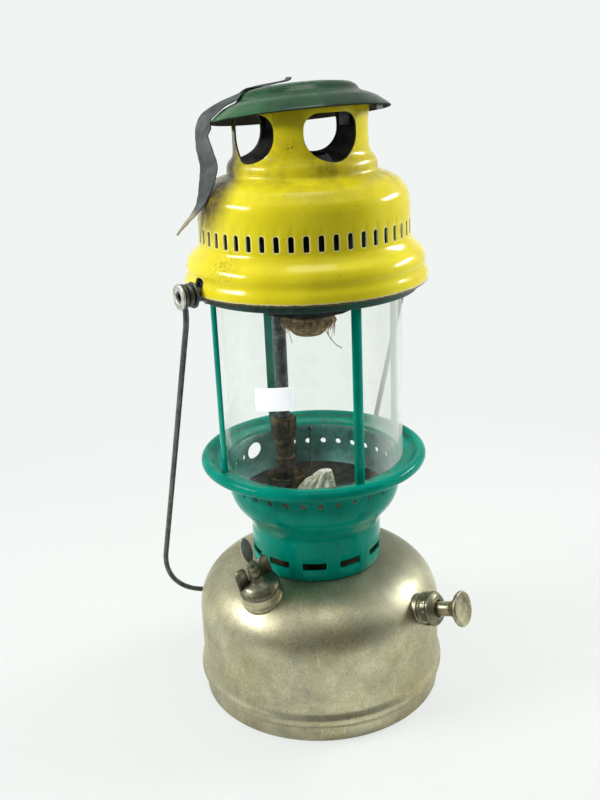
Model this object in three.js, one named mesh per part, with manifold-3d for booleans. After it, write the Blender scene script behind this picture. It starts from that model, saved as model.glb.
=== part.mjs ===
// A paraffin pressure lantern: nickel-plated tank, green gallery and frame, glass globe, yellow hood, leaning green cap.
// Millimetres, Z up. The origin is the bottom centre of the tank. Azimuth 0 is the front, which is -Y, and grows to +X.

import * as THREE from 'three';
import { mergeVertices } from 'three/addons/utils/BufferGeometryUtils.js';
import Module from 'manifold-3d';

const wasm = await Module();
wasm.setup();

// Driving dimensions
const fit = 0.3; // the gap that seated pieces keep
const overrun = 5; // how far a cutter runs past the wall that it cuts

const tank = {
  radius: 73.9,
  wall: 1.2,
  footRadius: 73.5,
  beadRadius: 76,
  beadLow: 10,
  beadHigh: 16,
  waistHeight: 24,
  shoulderHeight: 51,
  domeRise: 34,
  crownRadius: 24,
  domePower: 2.2,
  baseHeight: 7,
  seamWidth: 2.4,
};

const gallery = {
  collarRadius: 39,
  collarTop: 109.5,
  bowlRadius: 50.9,
  bowlHeight: 131,
  ledgeHeight: 148.4,
  lipRadius: 63.2,
  curlRadius: 2.1,
  wall: 1.2,
};

const globe = {
  radius: 53,
  wall: 2,
  height: 104.2,
};

const frame = {
  stripCount: 4,
  stripRadius: 57,
  stripWidth: 6.2,
  stripDepth: 1.9,
  firstStrip: 26.2,
  ringRadius: 62,
  ringHole: 54,
  ringWall: 1.2,
  ringDepth: 5.8,
  headroom: 1.3,
};

// The plate of the top ring, just above the glass. Heights of the ring, hood, cap, bail and burner are measured from it.
const plateHeight = gallery.ledgeHeight + gallery.wall + fit + globe.height + frame.headroom;

const hood = {
  wall: 1,
  rimHeight: 0.2,
  rimRadius: 67.7,
  drumRadius: 58.1,
  drumBottom: 22,
  drumTop: 40.6,
  neckRadius: 36.7,
  neckBottom: 68.6,
  neckTop: 92.6,
  slotCount: 48,
  windowCount: 5,
};

const cap = {
  radius: 48.5,
  wall: 0.9,
  rise: 15.3,
  height: 87.1,
  frontLean: -6.04,
  sideLean: -3.51,
};

const bail = {
  azimuth: -58,
  pivotHeight: 0.6,
  reach: 236,
  wireRadius: 1.6,
  eyeRadius: 4.9,
  eyeOffset: 73.1,
  legOffset: 75.2,
  cornerRadius: 50,
};

const filler = {
  azimuth: -36.8,
  radius: 54.2,
  tilt: 18.8,
};

const pump = {
  azimuth: 57,
  elevation: 16,
  height: 64.3,
  barrelRadius: 7.6,
  barrelLength: 63,
  rodRadius: 1.8,
};

const burner = {
  vaporiserAzimuth: -121,
  vaporiserOffset: 20,
  vaporiserRadius: 4.5,
  vaporiserTop: -5.4,
  nutBottom: 155.9,
  boreRadius: 2.2,
  casingRadius: 27,
  casingBottom: -17.4,
  casingTop: 66.6,
  nozzleRadius: 14.6,
  nozzleBottom: -32.9,
};

const control = {
  azimuth: 177,
  height: 95.6,
  spindleRadius: 2.2,
};

// Facets around each kind of turned piece
const facets = { shell: 30, cover: 24, part: 16, small: 12, tiny: 9, wire: 7 };

// Small helpers
const radians = (angle) => THREE.MathUtils.degToRad(angle);
const last = (list) => list[list.length - 1];

function polar(radius, azimuth, height) {
  const angle = radians(azimuth);
  return new THREE.Vector3(radius * Math.sin(angle), -radius * Math.cos(angle), height);
}

// A frame whose Z looks along an azimuth and an elevation, with X level and Y as upright as it can be
function aimed(azimuth, elevation, place) {
  const a = radians(azimuth);
  const e = radians(elevation);
  const ahead = new THREE.Vector3(Math.sin(a) * Math.cos(e), -Math.cos(a) * Math.cos(e), Math.sin(e));
  const level = new THREE.Vector3(Math.cos(a), Math.sin(a), 0);
  const upright = new THREE.Vector3().crossVectors(ahead, level);
  return new THREE.Matrix4().makeBasis(level, upright, ahead).setPosition(place);
}

function leaning(matrix) {
  const group = new THREE.Group();
  group.applyMatrix4(matrix);
  return group;
}

// Closed geometry with shared corners, no empty triangles, and faces that point out
function closed(geometry) {
  const bare = geometry.index ? geometry.clone() : geometry;
  bare.deleteAttribute('normal');
  bare.deleteAttribute('uv');
  const merged = mergeVertices(bare, 1e-4);
  const points = merged.getAttribute('position');
  const corners = [0, 1, 2].map(() => new THREE.Vector3());
  const kept = [];
  let volume = 0;
  for (let i = 0; i < merged.index.count; i += 3) {
    const face = [0, 1, 2].map((k) => merged.index.getX(i + k));
    if (face[0] === face[1] || face[1] === face[2] || face[2] === face[0]) continue;
    kept.push(face);
    corners.forEach((corner, k) => corner.fromBufferAttribute(points, face[k]));
    volume += corners[0].dot(corners[1].clone().cross(corners[2]));
  }
  const turned = volume < 0 ? kept.map(([a, b, c]) => [a, c, b]) : kept;
  merged.setIndex(turned.flat());
  return merged;
}

function toSolid(geometry) {
  const shape = closed(geometry);
  const mesh = new wasm.Mesh({
    numProp: 3,
    vertProperties: new Float32Array(shape.getAttribute('position').array),
    triVerts: new Uint32Array(shape.index.array),
  });
  return new wasm.Manifold(mesh);
}

function toGeometry(solid) {
  const mesh = solid.getMesh();
  const geometry = new THREE.BufferGeometry();
  geometry.setAttribute('position', new THREE.BufferAttribute(new Float32Array(mesh.vertProperties), 3));
  geometry.setIndex(Array.from(mesh.triVerts));
  return geometry;
}

function cut(body, cutters) {
  const tool = cutters.map(toSolid).reduce((sum, one) => sum.add(one));
  return toGeometry(toSolid(body).subtract(tool));
}

function join(...geometries) {
  return toGeometry(geometries.map(toSolid).reduce((sum, one) => sum.add(one)));
}

function piece(name, geometry, material) {
  const mesh = new THREE.Mesh(closed(geometry), material);
  mesh.name = name;
  return mesh;
}

// Turns an outline of [radius, height] points around Z
function revolve(outline, segments, start = 0) {
  const points = outline.map(([radius, height]) => new THREE.Vector2(radius, height));
  return new THREE.LatheGeometry(points, segments, radians(start)).rotateX(Math.PI / 2);
}

// The face of a sheet that lies to the left of a run of points, a wall away from it
function leftFace(points, wall) {
  return points.map((point, i) => {
    const here = new THREE.Vector2(...point);
    const before = i > 0 ? here.clone().sub(new THREE.Vector2(...points[i - 1])).normalize() : null;
    const after = i < points.length - 1 ? new THREE.Vector2(...points[i + 1]).sub(here).normalize() : null;
    const along = (before ?? after).clone().add(after ?? before).normalize();
    const slant = along.dot(before ?? after);
    const reach = wall / Math.max(slant, 0.7);
    return [here.x - along.y * reach, here.y + along.x * reach];
  });
}

function sheetOutline(points, wall) {
  return [...points, ...leftFace(points, wall).reverse(), points[0]];
}

// The height of an outline where it crosses a radius
function heightAt(points, radius) {
  for (let i = 1; i < points.length; i += 1) {
    const [r0, z0] = points[i - 1];
    const [r1, z1] = points[i];
    if ((r0 - radius) * (r1 - radius) <= 0 && r0 !== r1) return z0 + ((z1 - z0) * (radius - r0)) / (r1 - r0);
  }
  return last(points)[1];
}

// The radius of an outline where it crosses a height
function radiusAt(points, height) {
  return heightAt(points.map(([radius, z]) => [z, radius]), height);
}

// A ring, tube or disc between two heights
function ring(inner, outer, bottom, top, segments) {
  const outline = [[inner, bottom], [outer, bottom], [outer, top], [inner, top], [inner, bottom]];
  return revolve(outline, segments);
}

function circle(radius, segments) {
  const shape = new THREE.Shape();
  for (let i = 0; i < segments; i += 1) {
    const angle = (2 * Math.PI * i) / segments;
    const x = radius * Math.cos(angle);
    const y = radius * Math.sin(angle);
    if (i === 0) shape.moveTo(x, y);
    else shape.lineTo(x, y);
  }
  shape.closePath();
  return shape;
}

function extrude(shape, depth, arcSteps = 4) {
  return new THREE.ExtrudeGeometry(shape, { depth, bevelEnabled: false, curveSegments: arcSteps });
}

// A run of straight steps through given points, with one step of the tube to each
class PointPath extends THREE.Curve {
  constructor(points) {
    super();
    this.points = points;
  }

  getPoint(t, target = new THREE.Vector3()) {
    const place = THREE.MathUtils.clamp(t, 0, 1) * (this.points.length - 1);
    const i = Math.min(Math.floor(place), this.points.length - 2);
    return target.lerpVectors(this.points[i], this.points[i + 1], place - i);
  }

  getUtoTmapping(u) {
    return u;
  }
}

function tube(points, radius, sides) {
  const path = new PointPath(points);
  const options = { steps: points.length - 1, extrudePath: path };
  return new THREE.ExtrudeGeometry(circle(radius, sides), options);
}

// A stack of ridges around a turned knob
function knurl(radius, depth, count, bottom, top) {
  const shape = new THREE.Shape();
  for (let i = 0; i < count * 2; i += 1) {
    const angle = (Math.PI * i) / count;
    const reach = i % 2 ? radius : radius - depth;
    const x = reach * Math.cos(angle);
    const y = reach * Math.sin(angle);
    if (i === 0) shape.moveTo(x, y);
    else shape.lineTo(x, y);
  }
  shape.closePath();
  return extrude(shape, top - bottom).translate(0, 0, bottom);
}

function hexagon(acrossFlats, bottom, top) {
  return extrude(circle(acrossFlats / 2 / Math.cos(Math.PI / 6), 6), top - bottom).translate(0, 0, bottom);
}

// Finishes
const finish = (color, roughness, metalness) => new THREE.MeshStandardMaterial({ color, roughness, metalness });
const tankPlate = finish(0x96947d, 0.45, 0.9);
const agedBrass = finish(0x8a7a4c, 0.5, 0.9);
const darkSteel = finish(0x4b4d4d, 0.55, 0.8);
const greenEnamel = finish(0x00806c, 0.25, 0);
const capEnamel = finish(0x2f6b4a, 0.3, 0);
const yellowEnamel = finish(0xe8de28, 0.25, 0);
const zincPlate = finish(0xd8d6c6, 0.4, 0.5);
const clay = finish(0x8a6f52, 0.95, 0);
const leather = finish(0x5a3f2a, 0.8, 0);
const blackPlastic = finish(0x1c1c1e, 0.5, 0);
const mantleCloth = finish(0xe4e0d2, 0.95, 0);
const tapeCloth = finish(0x50555a, 0.8, 0);
const glass = new THREE.MeshStandardMaterial({
  color: 0xf4fbf8,
  roughness: 0.05,
  metalness: 0,
  transparent: true,
  opacity: 0.25,
});

// Tank
function domeOutline(inset = 0, steps = 5) {
  const points = [];
  const reach = tank.radius - tank.crownRadius - inset;
  for (let i = 0; i <= steps; i += 1) {
    const angle = (Math.PI / 2) * (i / steps);
    const out = Math.cos(angle) ** (2 / tank.domePower);
    const up = Math.sin(angle) ** (2 / tank.domePower);
    points.push([tank.crownRadius + reach * out, tank.shoulderHeight + (tank.domeRise - inset) * up]);
  }
  return points;
}

const dome = domeOutline();
const crownHeight = tank.shoulderHeight + tank.domeRise;
const boss = { throatRadius: 10.7, flangeRadius: 15, flangeHeight: 2, boreRadius: 4, skirt: 5, spigotRadius: 8 };

// The solid inside the tank's outer face, grown by a gap, which trims what sits on it
function tankBlank(gap) {
  const grown = dome.map(([radius, height]) => [radius + gap, height + gap]);
  const outline = [[0, tank.waistHeight], [tank.radius + gap, tank.waistHeight], ...grown, [0, crownHeight + gap]];
  return revolve(outline, facets.shell);
}

const fillerFrame = aimed(
  filler.azimuth,
  90 - filler.tilt,
  polar(filler.radius, filler.azimuth, heightAt(dome, filler.radius)),
);
const pumpFrame = aimed(pump.azimuth, pump.elevation, polar(tank.radius, pump.azimuth, pump.height));
const neck = { bore: 8.2, collarRadius: 11.2, threadRadius: 9.5, collarTop: 5.8, top: 8.2, root: 8 };

function tankShell() {
  const groove = 1;
  const outer = [
    [tank.footRadius, 0],
    [tank.beadRadius - groove, tank.beadLow - groove],
    [tank.beadRadius, tank.beadLow],
    [tank.beadRadius, tank.beadHigh],
    [tank.radius, tank.waistHeight],
    ...dome,
    [boss.throatRadius + fit, crownHeight],
  ];
  const inner = [
    [boss.throatRadius + fit, crownHeight - tank.wall],
    ...domeOutline(tank.wall, 3).reverse(),
    [tank.radius - tank.wall, tank.waistHeight],
    [tank.footRadius - tank.wall, tank.beadLow],
    [tank.footRadius - tank.wall, 0],
  ];
  const shell = revolve([...outer, ...inner, outer[0]], facets.shell);
  const fillerHole = ring(0, neck.bore, -neck.root, neck.root, facets.small).applyMatrix4(fillerFrame);
  const pumpHole = ring(0, pump.barrelRadius + fit, -4 * overrun, overrun, facets.small).applyMatrix4(pumpFrame);
  return piece('tank_shell', cut(shell, [fillerHole, pumpHole]), tankPlate);
}

function tankBase() {
  const outside = tank.footRadius - tank.wall - fit;
  const seam = outside - tank.seamWidth;
  const outline = [
    [0, tank.baseHeight],
    [seam, tank.baseHeight],
    [seam, 0],
    [outside, 0],
    [outside, tank.baseHeight + tank.wall],
    [0, tank.baseHeight + tank.wall],
  ];
  return piece('tank_base', revolve(outline, facets.shell), tankPlate);
}

// Filler, turned around its own leaning axis
const fillerCap = {
  radius: 12,
  threadGap: 0.35,
  skirtBottom: 6.2,
  shoulder: 8.9,
  crown: 13.3,
  crownRadius: 4,
  bossHeight: 16.2,
  wall: 2.2,
  screwGap: 0.3,
  wingTop: 24,
  wingShoulder: 19.5,
  wingThickness: 1.5,
  wingOffset: 2.4,
  wingAzimuth: 68.5,
};
const airScrew = {
  radius: 1.7,
  headRadius: 3.4,
  headTop: 27.6,
  keyWidth: 6.6,
  keyHeight: 18.8,
  keyThickness: 1.8,
  keyTwist: 7.5,
  tipDepth: 3,
};
const washer = { inner: 6.8, thickness: 1 };

function fillerNeck() {
  const outline = [
    [neck.bore, -neck.root],
    [neck.collarRadius + fillerCap.wall / 2, -neck.root],
    [neck.collarRadius + fillerCap.wall / 2, 0],
    [neck.collarRadius, neck.collarTop / 3],
    [neck.collarRadius, neck.collarTop],
    [neck.threadRadius, neck.collarTop],
    [neck.threadRadius, neck.top],
    [neck.bore, neck.top],
    [neck.bore, -neck.root],
  ];
  const toLocal = fillerFrame.clone().invert();
  const trimmed = cut(revolve(outline, facets.part), [tankBlank(fit).applyMatrix4(toLocal)]);
  return piece('filler_neck', trimmed, tankPlate);
}

function fillerWasher() {
  const bottom = neck.top + fit;
  return piece('filler_washer', ring(washer.inner, neck.threadRadius - fit, bottom, bottom + washer.thickness, facets.small), leather);
}

// One of the two ears, a flat plate that stands on the cap beside its axis
function fillerWing(side) {
  const c = fillerCap;
  const inner = c.crownRadius;
  const outer = c.radius - c.wall / 3;
  const seat = neck.top + 2 * fit + washer.thickness;
  const skirt = neck.threadRadius + c.threadGap + c.wall / 3;
  const shape = new THREE.Shape();
  shape.moveTo(side * inner, seat + c.wall / 5);
  shape.lineTo(side * skirt, seat + c.wall / 5);
  shape.lineTo(side * skirt, c.shoulder - c.wall / 2);
  shape.lineTo(side * outer, c.shoulder - c.wall / 2);
  shape.lineTo(side * outer, c.wingShoulder);
  shape.quadraticCurveTo(side * outer, c.wingTop, side * (outer - c.wall), c.wingTop);
  shape.lineTo(side * inner, c.wingTop - c.wall / 3);
  shape.closePath();
  return extrude(shape, c.wingThickness).rotateX(Math.PI / 2).translate(0, c.wingOffset + c.wingThickness / 2, 0);
}

function fillerCapPiece() {
  const c = fillerCap;
  const seat = neck.top + 2 * fit + washer.thickness;
  const inside = neck.threadRadius + c.threadGap;
  const bore = airScrew.radius + c.screwGap;
  const outline = [
    [inside, c.skirtBottom],
    [c.radius, c.skirtBottom],
    [c.radius, c.shoulder],
    [c.radius - c.wall / 2, c.shoulder + c.wall / 2],
    [(c.radius + c.crownRadius) / 2, c.crown - c.wall / 3],
    [c.crownRadius, c.crown],
    [c.crownRadius - c.wall / 4, c.bossHeight],
    [bore, c.bossHeight],
    [bore, seat],
    [inside, seat],
    [inside, c.skirtBottom],
  ];
  const wings = [fillerWing(-1), fillerWing(1)];
  const body = join(revolve(outline, facets.part), ...wings);
  const bored = cut(body, [ring(0, bore, seat - overrun, tipOfWings(), facets.tiny)]);
  return piece('filler_cap', bored, tankPlate);
}

function tipOfWings() {
  return fillerCap.wingTop + overrun;
}

function airScrewPiece() {
  const s = airScrew;
  const collar = fillerCap.bossHeight + fit;
  const bottom = neck.top - s.tipDepth;
  const outline = [
    [0, bottom],
    [s.radius, bottom + s.radius],
    [s.radius, collar],
    [s.headRadius, collar],
    [s.headRadius, s.headTop - 2 * s.radius],
    [s.radius, s.headTop],
    [0, s.headTop],
  ];
  const key = new THREE.Shape();
  key.absellipse(0, 0, s.keyWidth / 2, s.keyHeight / 2, 0, 2 * Math.PI, false, 0);
  const plate = extrude(key, s.keyThickness, 16).translate(0, 0, -s.keyThickness / 2).rotateX(Math.PI / 2);
  plate.rotateZ(radians(s.keyTwist)).translate(0, 0, s.headTop + (s.keyHeight - s.keyThickness) / 2);
  return piece('air_screw', join(revolve(outline, facets.tiny), plate), darkSteel);
}

function fillerGroup() {
  const group = leaning(fillerFrame);
  const wingTurn = new THREE.Group();
  wingTurn.rotation.z = radians(fillerCap.wingAzimuth);
  wingTurn.add(fillerCapPiece(), airScrewPiece());
  group.add(fillerNeck(), fillerWasher(), wingTurn);
  return group;
}

// Pump, turned around its own axis: Z runs outwards and 0 is where the axis leaves the tank's full radius
const pumpParts = {
  tubeWall: 0.7,
  tubeTop: 3,
  socketWall: 1.3,
  socketTop: -1.7,
  capWall: 2.3,
  capBottom: -1.3,
  capTop: 9,
  capFace: 6.8,
  recessRadius: 4.9,
  recessDepth: 2.8,
  ridgeDepth: 0.6,
  ridgeCount: 16,
  stemRadius: 4.3,
  discRadius: 10.5,
  discHeight: 24.7,
  rimWidth: 2.2,
  dish: 1.6,
  knobBottom: 7.4,
  pistonLength: 4,
  pistonGap: 4,
  springRadius: 4.6,
  springWire: 0.5,
  springTurns: 3,
  springLength: 7,
  valveRadius: 5,
  valveLength: 6,
};
const barrelBottom = pumpParts.tubeTop - pump.barrelLength;

function pumpTube() {
  const p = pumpParts;
  const inside = pump.barrelRadius - p.tubeWall;
  const port = p.tubeWall;
  const outline = [
    [port, barrelBottom],
    [pump.barrelRadius, barrelBottom],
    [pump.barrelRadius, p.tubeTop],
    [inside, p.tubeTop],
    [inside, barrelBottom + p.tubeWall],
    [port, barrelBottom + p.tubeWall],
    [port, barrelBottom],
  ];
  return piece('pump_tube', revolve(outline, facets.small), agedBrass);
}

function pumpSocket() {
  const p = pumpParts;
  const outside = pump.barrelRadius + p.socketWall;
  const blank = ring(pump.barrelRadius + fit, outside, -3 * overrun, p.socketTop, facets.small);
  const toLocal = pumpFrame.clone().invert();
  return piece('pump_socket', cut(blank, [tankBlank(fit).applyMatrix4(toLocal)]), tankPlate);
}

function checkValve() {
  const p = pumpParts;
  const top = barrelBottom - fit;
  const bottom = top - p.valveLength;
  const outline = [
    [0, bottom],
    [p.valveRadius - p.tubeWall, bottom],
    [p.valveRadius, bottom + p.tubeWall],
    [p.valveRadius, top],
    [0, top],
  ];
  return piece('check_valve', revolve(outline, facets.tiny), agedBrass);
}

function pumpCap() {
  const p = pumpParts;
  const bore = pump.rodRadius + fit;
  const inside = pump.barrelRadius + fit;
  const seat = p.tubeTop + fit;
  const step = (p.capFace - p.capBottom) / 6;
  const r = pump.barrelRadius + p.capWall;
  const outline = [
    [inside, p.capBottom],
    [r - p.ridgeDepth, p.capBottom],
    [r, p.capBottom + step],
    [r - p.ridgeDepth, p.capBottom + 2 * step],
    [r - p.ridgeDepth, p.capBottom + 4.5 * step],
    [r + p.ridgeDepth / 2, p.capBottom + 5 * step],
    [r, p.capFace],
    [r * 0.78, p.capTop],
    [p.recessRadius, p.capTop],
    [p.recessRadius, p.capTop - p.recessDepth],
    [bore, p.capTop - p.recessDepth],
    [bore, seat],
    [inside, seat],
    [inside, p.capBottom],
  ];
  const band = knurl(r, p.ridgeDepth, p.ridgeCount, p.capBottom + 2.4 * step, p.capBottom + 4.4 * step);
  const core = ring(0, inside + p.tubeWall, p.capBottom - overrun, p.capTop + overrun, facets.small);
  const body = join(revolve(outline, facets.small), cut(band, [core]));
  return piece('pump_cap', body, tankPlate);
}

function pumpSpring() {
  const p = pumpParts;
  const top = p.tubeTop - p.springWire;
  const steps = p.springTurns * 8;
  const points = [];
  for (let i = 0; i <= steps; i += 1) {
    const angle = (2 * Math.PI * i) / 8;
    const height = top - (p.springLength * i) / steps;
    points.push(new THREE.Vector3(p.springRadius * Math.cos(angle), p.springRadius * Math.sin(angle), height));
  }
  return piece('pump_spring', tube(points, p.springWire, 4), darkSteel);
}

function pumpRod() {
  const p = pumpParts;
  const bottom = barrelBottom + p.tubeWall + p.pistonGap / 2;
  const rod = ring(0, pump.rodRadius, bottom, p.discHeight - p.rimWidth - p.dish, facets.tiny);
  return piece('pump_rod', rod, darkSteel);
}

function pumpPiston() {
  const p = pumpParts;
  const bottom = barrelBottom + p.tubeWall + p.pistonGap;
  const outer = pump.barrelRadius - p.tubeWall - fit;
  const bore = pump.rodRadius + fit;
  const outline = [
    [bore, bottom],
    [outer - p.tubeWall, bottom],
    [outer, bottom + p.tubeWall],
    [outer, bottom + p.pistonLength],
    [outer - p.tubeWall, bottom + p.pistonLength],
    [outer - 2 * p.tubeWall, bottom + p.pistonLength / 2],
    [bore, bottom + p.pistonLength / 2],
    [bore, bottom],
  ];
  return piece('pump_leather', revolve(outline, facets.small), leather);
}

function pumpKnob() {
  const p = pumpParts;
  const bore = pump.rodRadius + fit;
  const rodTop = p.discHeight - p.rimWidth - p.dish + fit;
  const back = p.discHeight - p.rimWidth;
  const outline = [
    [bore, p.knobBottom],
    [p.stemRadius, p.knobBottom],
    [p.stemRadius, back - p.discRadius / 2],
    [p.stemRadius + p.dish, back - p.discRadius / 4],
    [p.discRadius - p.dish / 2, back],
    [p.discRadius, back + p.rimWidth / 2],
    [p.discRadius - p.dish / 2, p.discHeight + p.rimWidth / 4],
    [p.discRadius / 2, p.discHeight - p.dish / 2],
    [0, p.discHeight - p.dish / 2],
    [0, rodTop],
    [bore, rodTop],
    [bore, p.knobBottom],
  ];
  return piece('pump_knob', revolve(outline, facets.part), agedBrass);
}

function pumpGroup() {
  const group = leaning(pumpFrame);
  group.add(pumpTube(), pumpSocket(), checkValve(), pumpCap(), pumpSpring(), pumpRod(), pumpPiston(), pumpKnob());
  return group;
}

// Feed: boss, pickup tube, valve and the stem that carries the vaporiser
const feed = {
  pickupRadius: 3.5,
  pickupWall: 0.8,
  pickupFoot: 9,
  hubRadius: 10,
  hubHeight: 14,
  armWidth: 9,
  riserRadius: 6.5,
  riserTop: 106,
  stemRadius: 5,
  ringRadius: 6,
  ringHeight: 3,
  nutAcross: 13.6,
  nutHeight: 13.2,
  glandAcross: 12,
  glandLength: 8,
  sleeve: 3,
};
const vaporiserPlace = polar(burner.vaporiserOffset, burner.vaporiserAzimuth, 0);
const vaporiserEnd = plateHeight + burner.vaporiserTop;
const hubBottom = crownHeight + 2 * fit + boss.flangeHeight;

function burnerBoss() {
  const flange = crownHeight + fit;
  const outline = [
    [boss.boreRadius, flange - boss.skirt],
    [boss.throatRadius, flange - boss.skirt],
    [boss.throatRadius, flange],
    [boss.flangeRadius, flange],
    [boss.flangeRadius, flange + boss.flangeHeight],
    [boss.boreRadius, flange + boss.flangeHeight],
    [boss.boreRadius, flange - boss.skirt],
  ];
  return piece('burner_boss', revolve(outline, facets.small), agedBrass);
}

function pickupTube() {
  const inner = feed.pickupRadius - feed.pickupWall;
  return piece('pickup_tube', ring(inner, feed.pickupRadius, feed.pickupFoot, crownHeight, facets.tiny), agedBrass);
}

function valveBody() {
  const top = hubBottom + feed.hubHeight;
  const hub = ring(0, feed.hubRadius, hubBottom, top, facets.small);
  const riser = ring(0, feed.riserRadius, hubBottom + 2 * fit, feed.riserTop, facets.small)
    .translate(vaporiserPlace.x, vaporiserPlace.y, 0);
  const arm = new THREE.BoxGeometry(burner.vaporiserOffset, feed.armWidth, feed.hubHeight - 4 * fit)
    .translate(burner.vaporiserOffset / 2, 0, (hubBottom + top) / 2)
    .rotateZ(radians(burner.vaporiserAzimuth - 90));
  const shaft = ring(0, control.spindleRadius + fit, feed.hubRadius / 2, feed.hubRadius + overrun, facets.tiny)
    .applyMatrix4(aimed(control.azimuth, 0, polar(0, 0, control.height)));
  const bore = ring(0, burner.boreRadius, control.height, feed.riserTop + overrun, facets.tiny)
    .translate(vaporiserPlace.x, vaporiserPlace.y, 0);
  return piece('valve_body', cut(join(hub, riser, arm), [shaft, bore]), agedBrass);
}

function controlGland() {
  const start = feed.hubRadius + fit;
  const hex = hexagon(feed.glandAcross, start, start + feed.glandLength);
  const bored = cut(hex, [ring(0, control.spindleRadius + fit, 0, start + 4 * overrun, facets.tiny)]);
  return piece('control_gland', bored, agedBrass);
}

const knobSize = { radius: 9.5, ridges: 12, ridgeDepth: 1.2, start: 44.5, length: 11 };

function controlSpindle() {
  const start = feed.hubRadius / 2 + fit;
  const end = knobSize.start + knobSize.length / 2;
  return piece('control_spindle', ring(0, control.spindleRadius, start, end, facets.tiny), darkSteel);
}

function controlKnob() {
  const k = knobSize;
  const body = knurl(k.radius, k.ridgeDepth, k.ridges, k.start, k.start + k.length);
  const bore = ring(0, control.spindleRadius + fit, k.start - overrun, k.start + k.length / 2 + fit, facets.tiny);
  return piece('control_knob', cut(body, [bore]), blackPlastic);
}

function controlGroup() {
  const group = leaning(aimed(control.azimuth, 0, polar(0, 0, control.height)));
  group.add(controlGland(), controlSpindle(), controlKnob());
  return group;
}

function lowerStem() {
  const bottom = feed.riserTop + fit;
  const top = burner.nutBottom - fit;
  const sleeve = [top - 5 * feed.ringHeight, top - 3 * feed.ringHeight];
  const outline = [
    [burner.boreRadius, bottom],
    [feed.stemRadius, bottom],
    [feed.stemRadius, sleeve[0]],
    [feed.ringRadius, sleeve[0]],
    [feed.ringRadius, sleeve[0] + feed.ringHeight],
    [feed.stemRadius, sleeve[0] + feed.ringHeight],
    [feed.stemRadius, sleeve[1]],
    [feed.ringRadius, sleeve[1]],
    [feed.ringRadius, top],
    [burner.boreRadius, top],
    [burner.boreRadius, bottom],
  ];
  return piece('lower_stem', revolve(outline, facets.tiny + 2), agedBrass);
}

function vaporiserNut() {
  const top = burner.nutBottom + feed.nutHeight;
  const hex = hexagon(feed.nutAcross, burner.nutBottom, top);
  const hole = ring(0, burner.vaporiserRadius + fit, burner.nutBottom - overrun, top + overrun, facets.small);
  return piece('vaporiser_nut', cut(hex, [hole]), agedBrass);
}

function vaporiserTube() {
  const bottom = burner.nutBottom + fit;
  const inner = burner.boreRadius;
  const tubePiece = ring(inner, burner.vaporiserRadius, bottom, vaporiserEnd, facets.small);
  return piece('vaporiser_tube', tubePiece, darkSteel);
}

const jetSize = { height: 8, boreRadius: 1, needleRadius: 0.7, tipRadius: 2 };

function jetPiece() {
  const bottom = vaporiserEnd + fit;
  const top = bottom + jetSize.height;
  const outline = [
    [jetSize.boreRadius, bottom],
    [burner.vaporiserRadius, bottom],
    [burner.vaporiserRadius, bottom + jetSize.height / 2],
    [jetSize.tipRadius, top],
    [jetSize.boreRadius, top],
    [jetSize.boreRadius, bottom],
  ];
  return piece('jet', revolve(outline, facets.tiny), agedBrass);
}

function prickerRod() {
  const bottom = control.height + feed.hubRadius / 2;
  const top = vaporiserEnd + jetSize.height / 2;
  return piece('pricker_rod', ring(0, jetSize.needleRadius, bottom, top, facets.wire), darkSteel);
}

function vaporiserGroup() {
  const group = new THREE.Group();
  group.position.set(vaporiserPlace.x, vaporiserPlace.y, 0);
  group.add(lowerStem(), vaporiserNut(), vaporiserTube(), jetPiece(), prickerRod(), spiritCup());
  return group;
}

// Gallery: collar, perforated bowl and rolled flange, spun from one sheet
const collarBottom = heightAt(dome, gallery.collarRadius - gallery.wall) + fit;
const galleryHoles = { radius: 1.75, count: 32, height: 136.4, first: 3.5, sides: 6 };
const collarSlots = { width: 14, height: 4.6, count: 11, centre: 93.2, first: -2.8 };
const lightingHole = { width: 10, height: 8.5, azimuth: -131.8, centre: 137.6 };

function galleryOutline() {
  const g = gallery;
  const lip = g.ledgeHeight + g.wall;
  const points = [
    [g.collarRadius, collarBottom],
    [g.collarRadius, g.collarTop],
    [g.collarRadius + 4.4, g.collarTop + 8],
    [g.bowlRadius - g.wall, g.bowlHeight - 5.5],
    [g.bowlRadius, g.bowlHeight],
    [g.bowlRadius, g.ledgeHeight - g.wall],
    [g.bowlRadius + g.wall, g.ledgeHeight],
    [frame.stripRadius + g.wall, g.ledgeHeight],
    [g.lipRadius - 0.8 * g.curlRadius, lip + 0.6 * g.curlRadius],
    [g.lipRadius, lip + g.curlRadius],
  ];
  for (let i = 1; i <= 3; i += 1) {
    const angle = radians(60 * i);
    points.push([g.lipRadius + g.curlRadius * Math.sin(angle), lip + g.curlRadius * Math.cos(angle)]);
  }
  return points;
}

const galleryOuter = galleryOutline();
const galleryInner = leftFace(galleryOuter, gallery.wall);
const ledgeTop = gallery.ledgeHeight + gallery.wall;

// A round-ended or oval cutter through a wall at an azimuth
function wallCutter(shape, azimuth, radius, height, arcSteps) {
  return extrude(shape, 2 * overrun, arcSteps).applyMatrix4(aimed(azimuth, 0, polar(radius - overrun, azimuth, height)));
}

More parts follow.
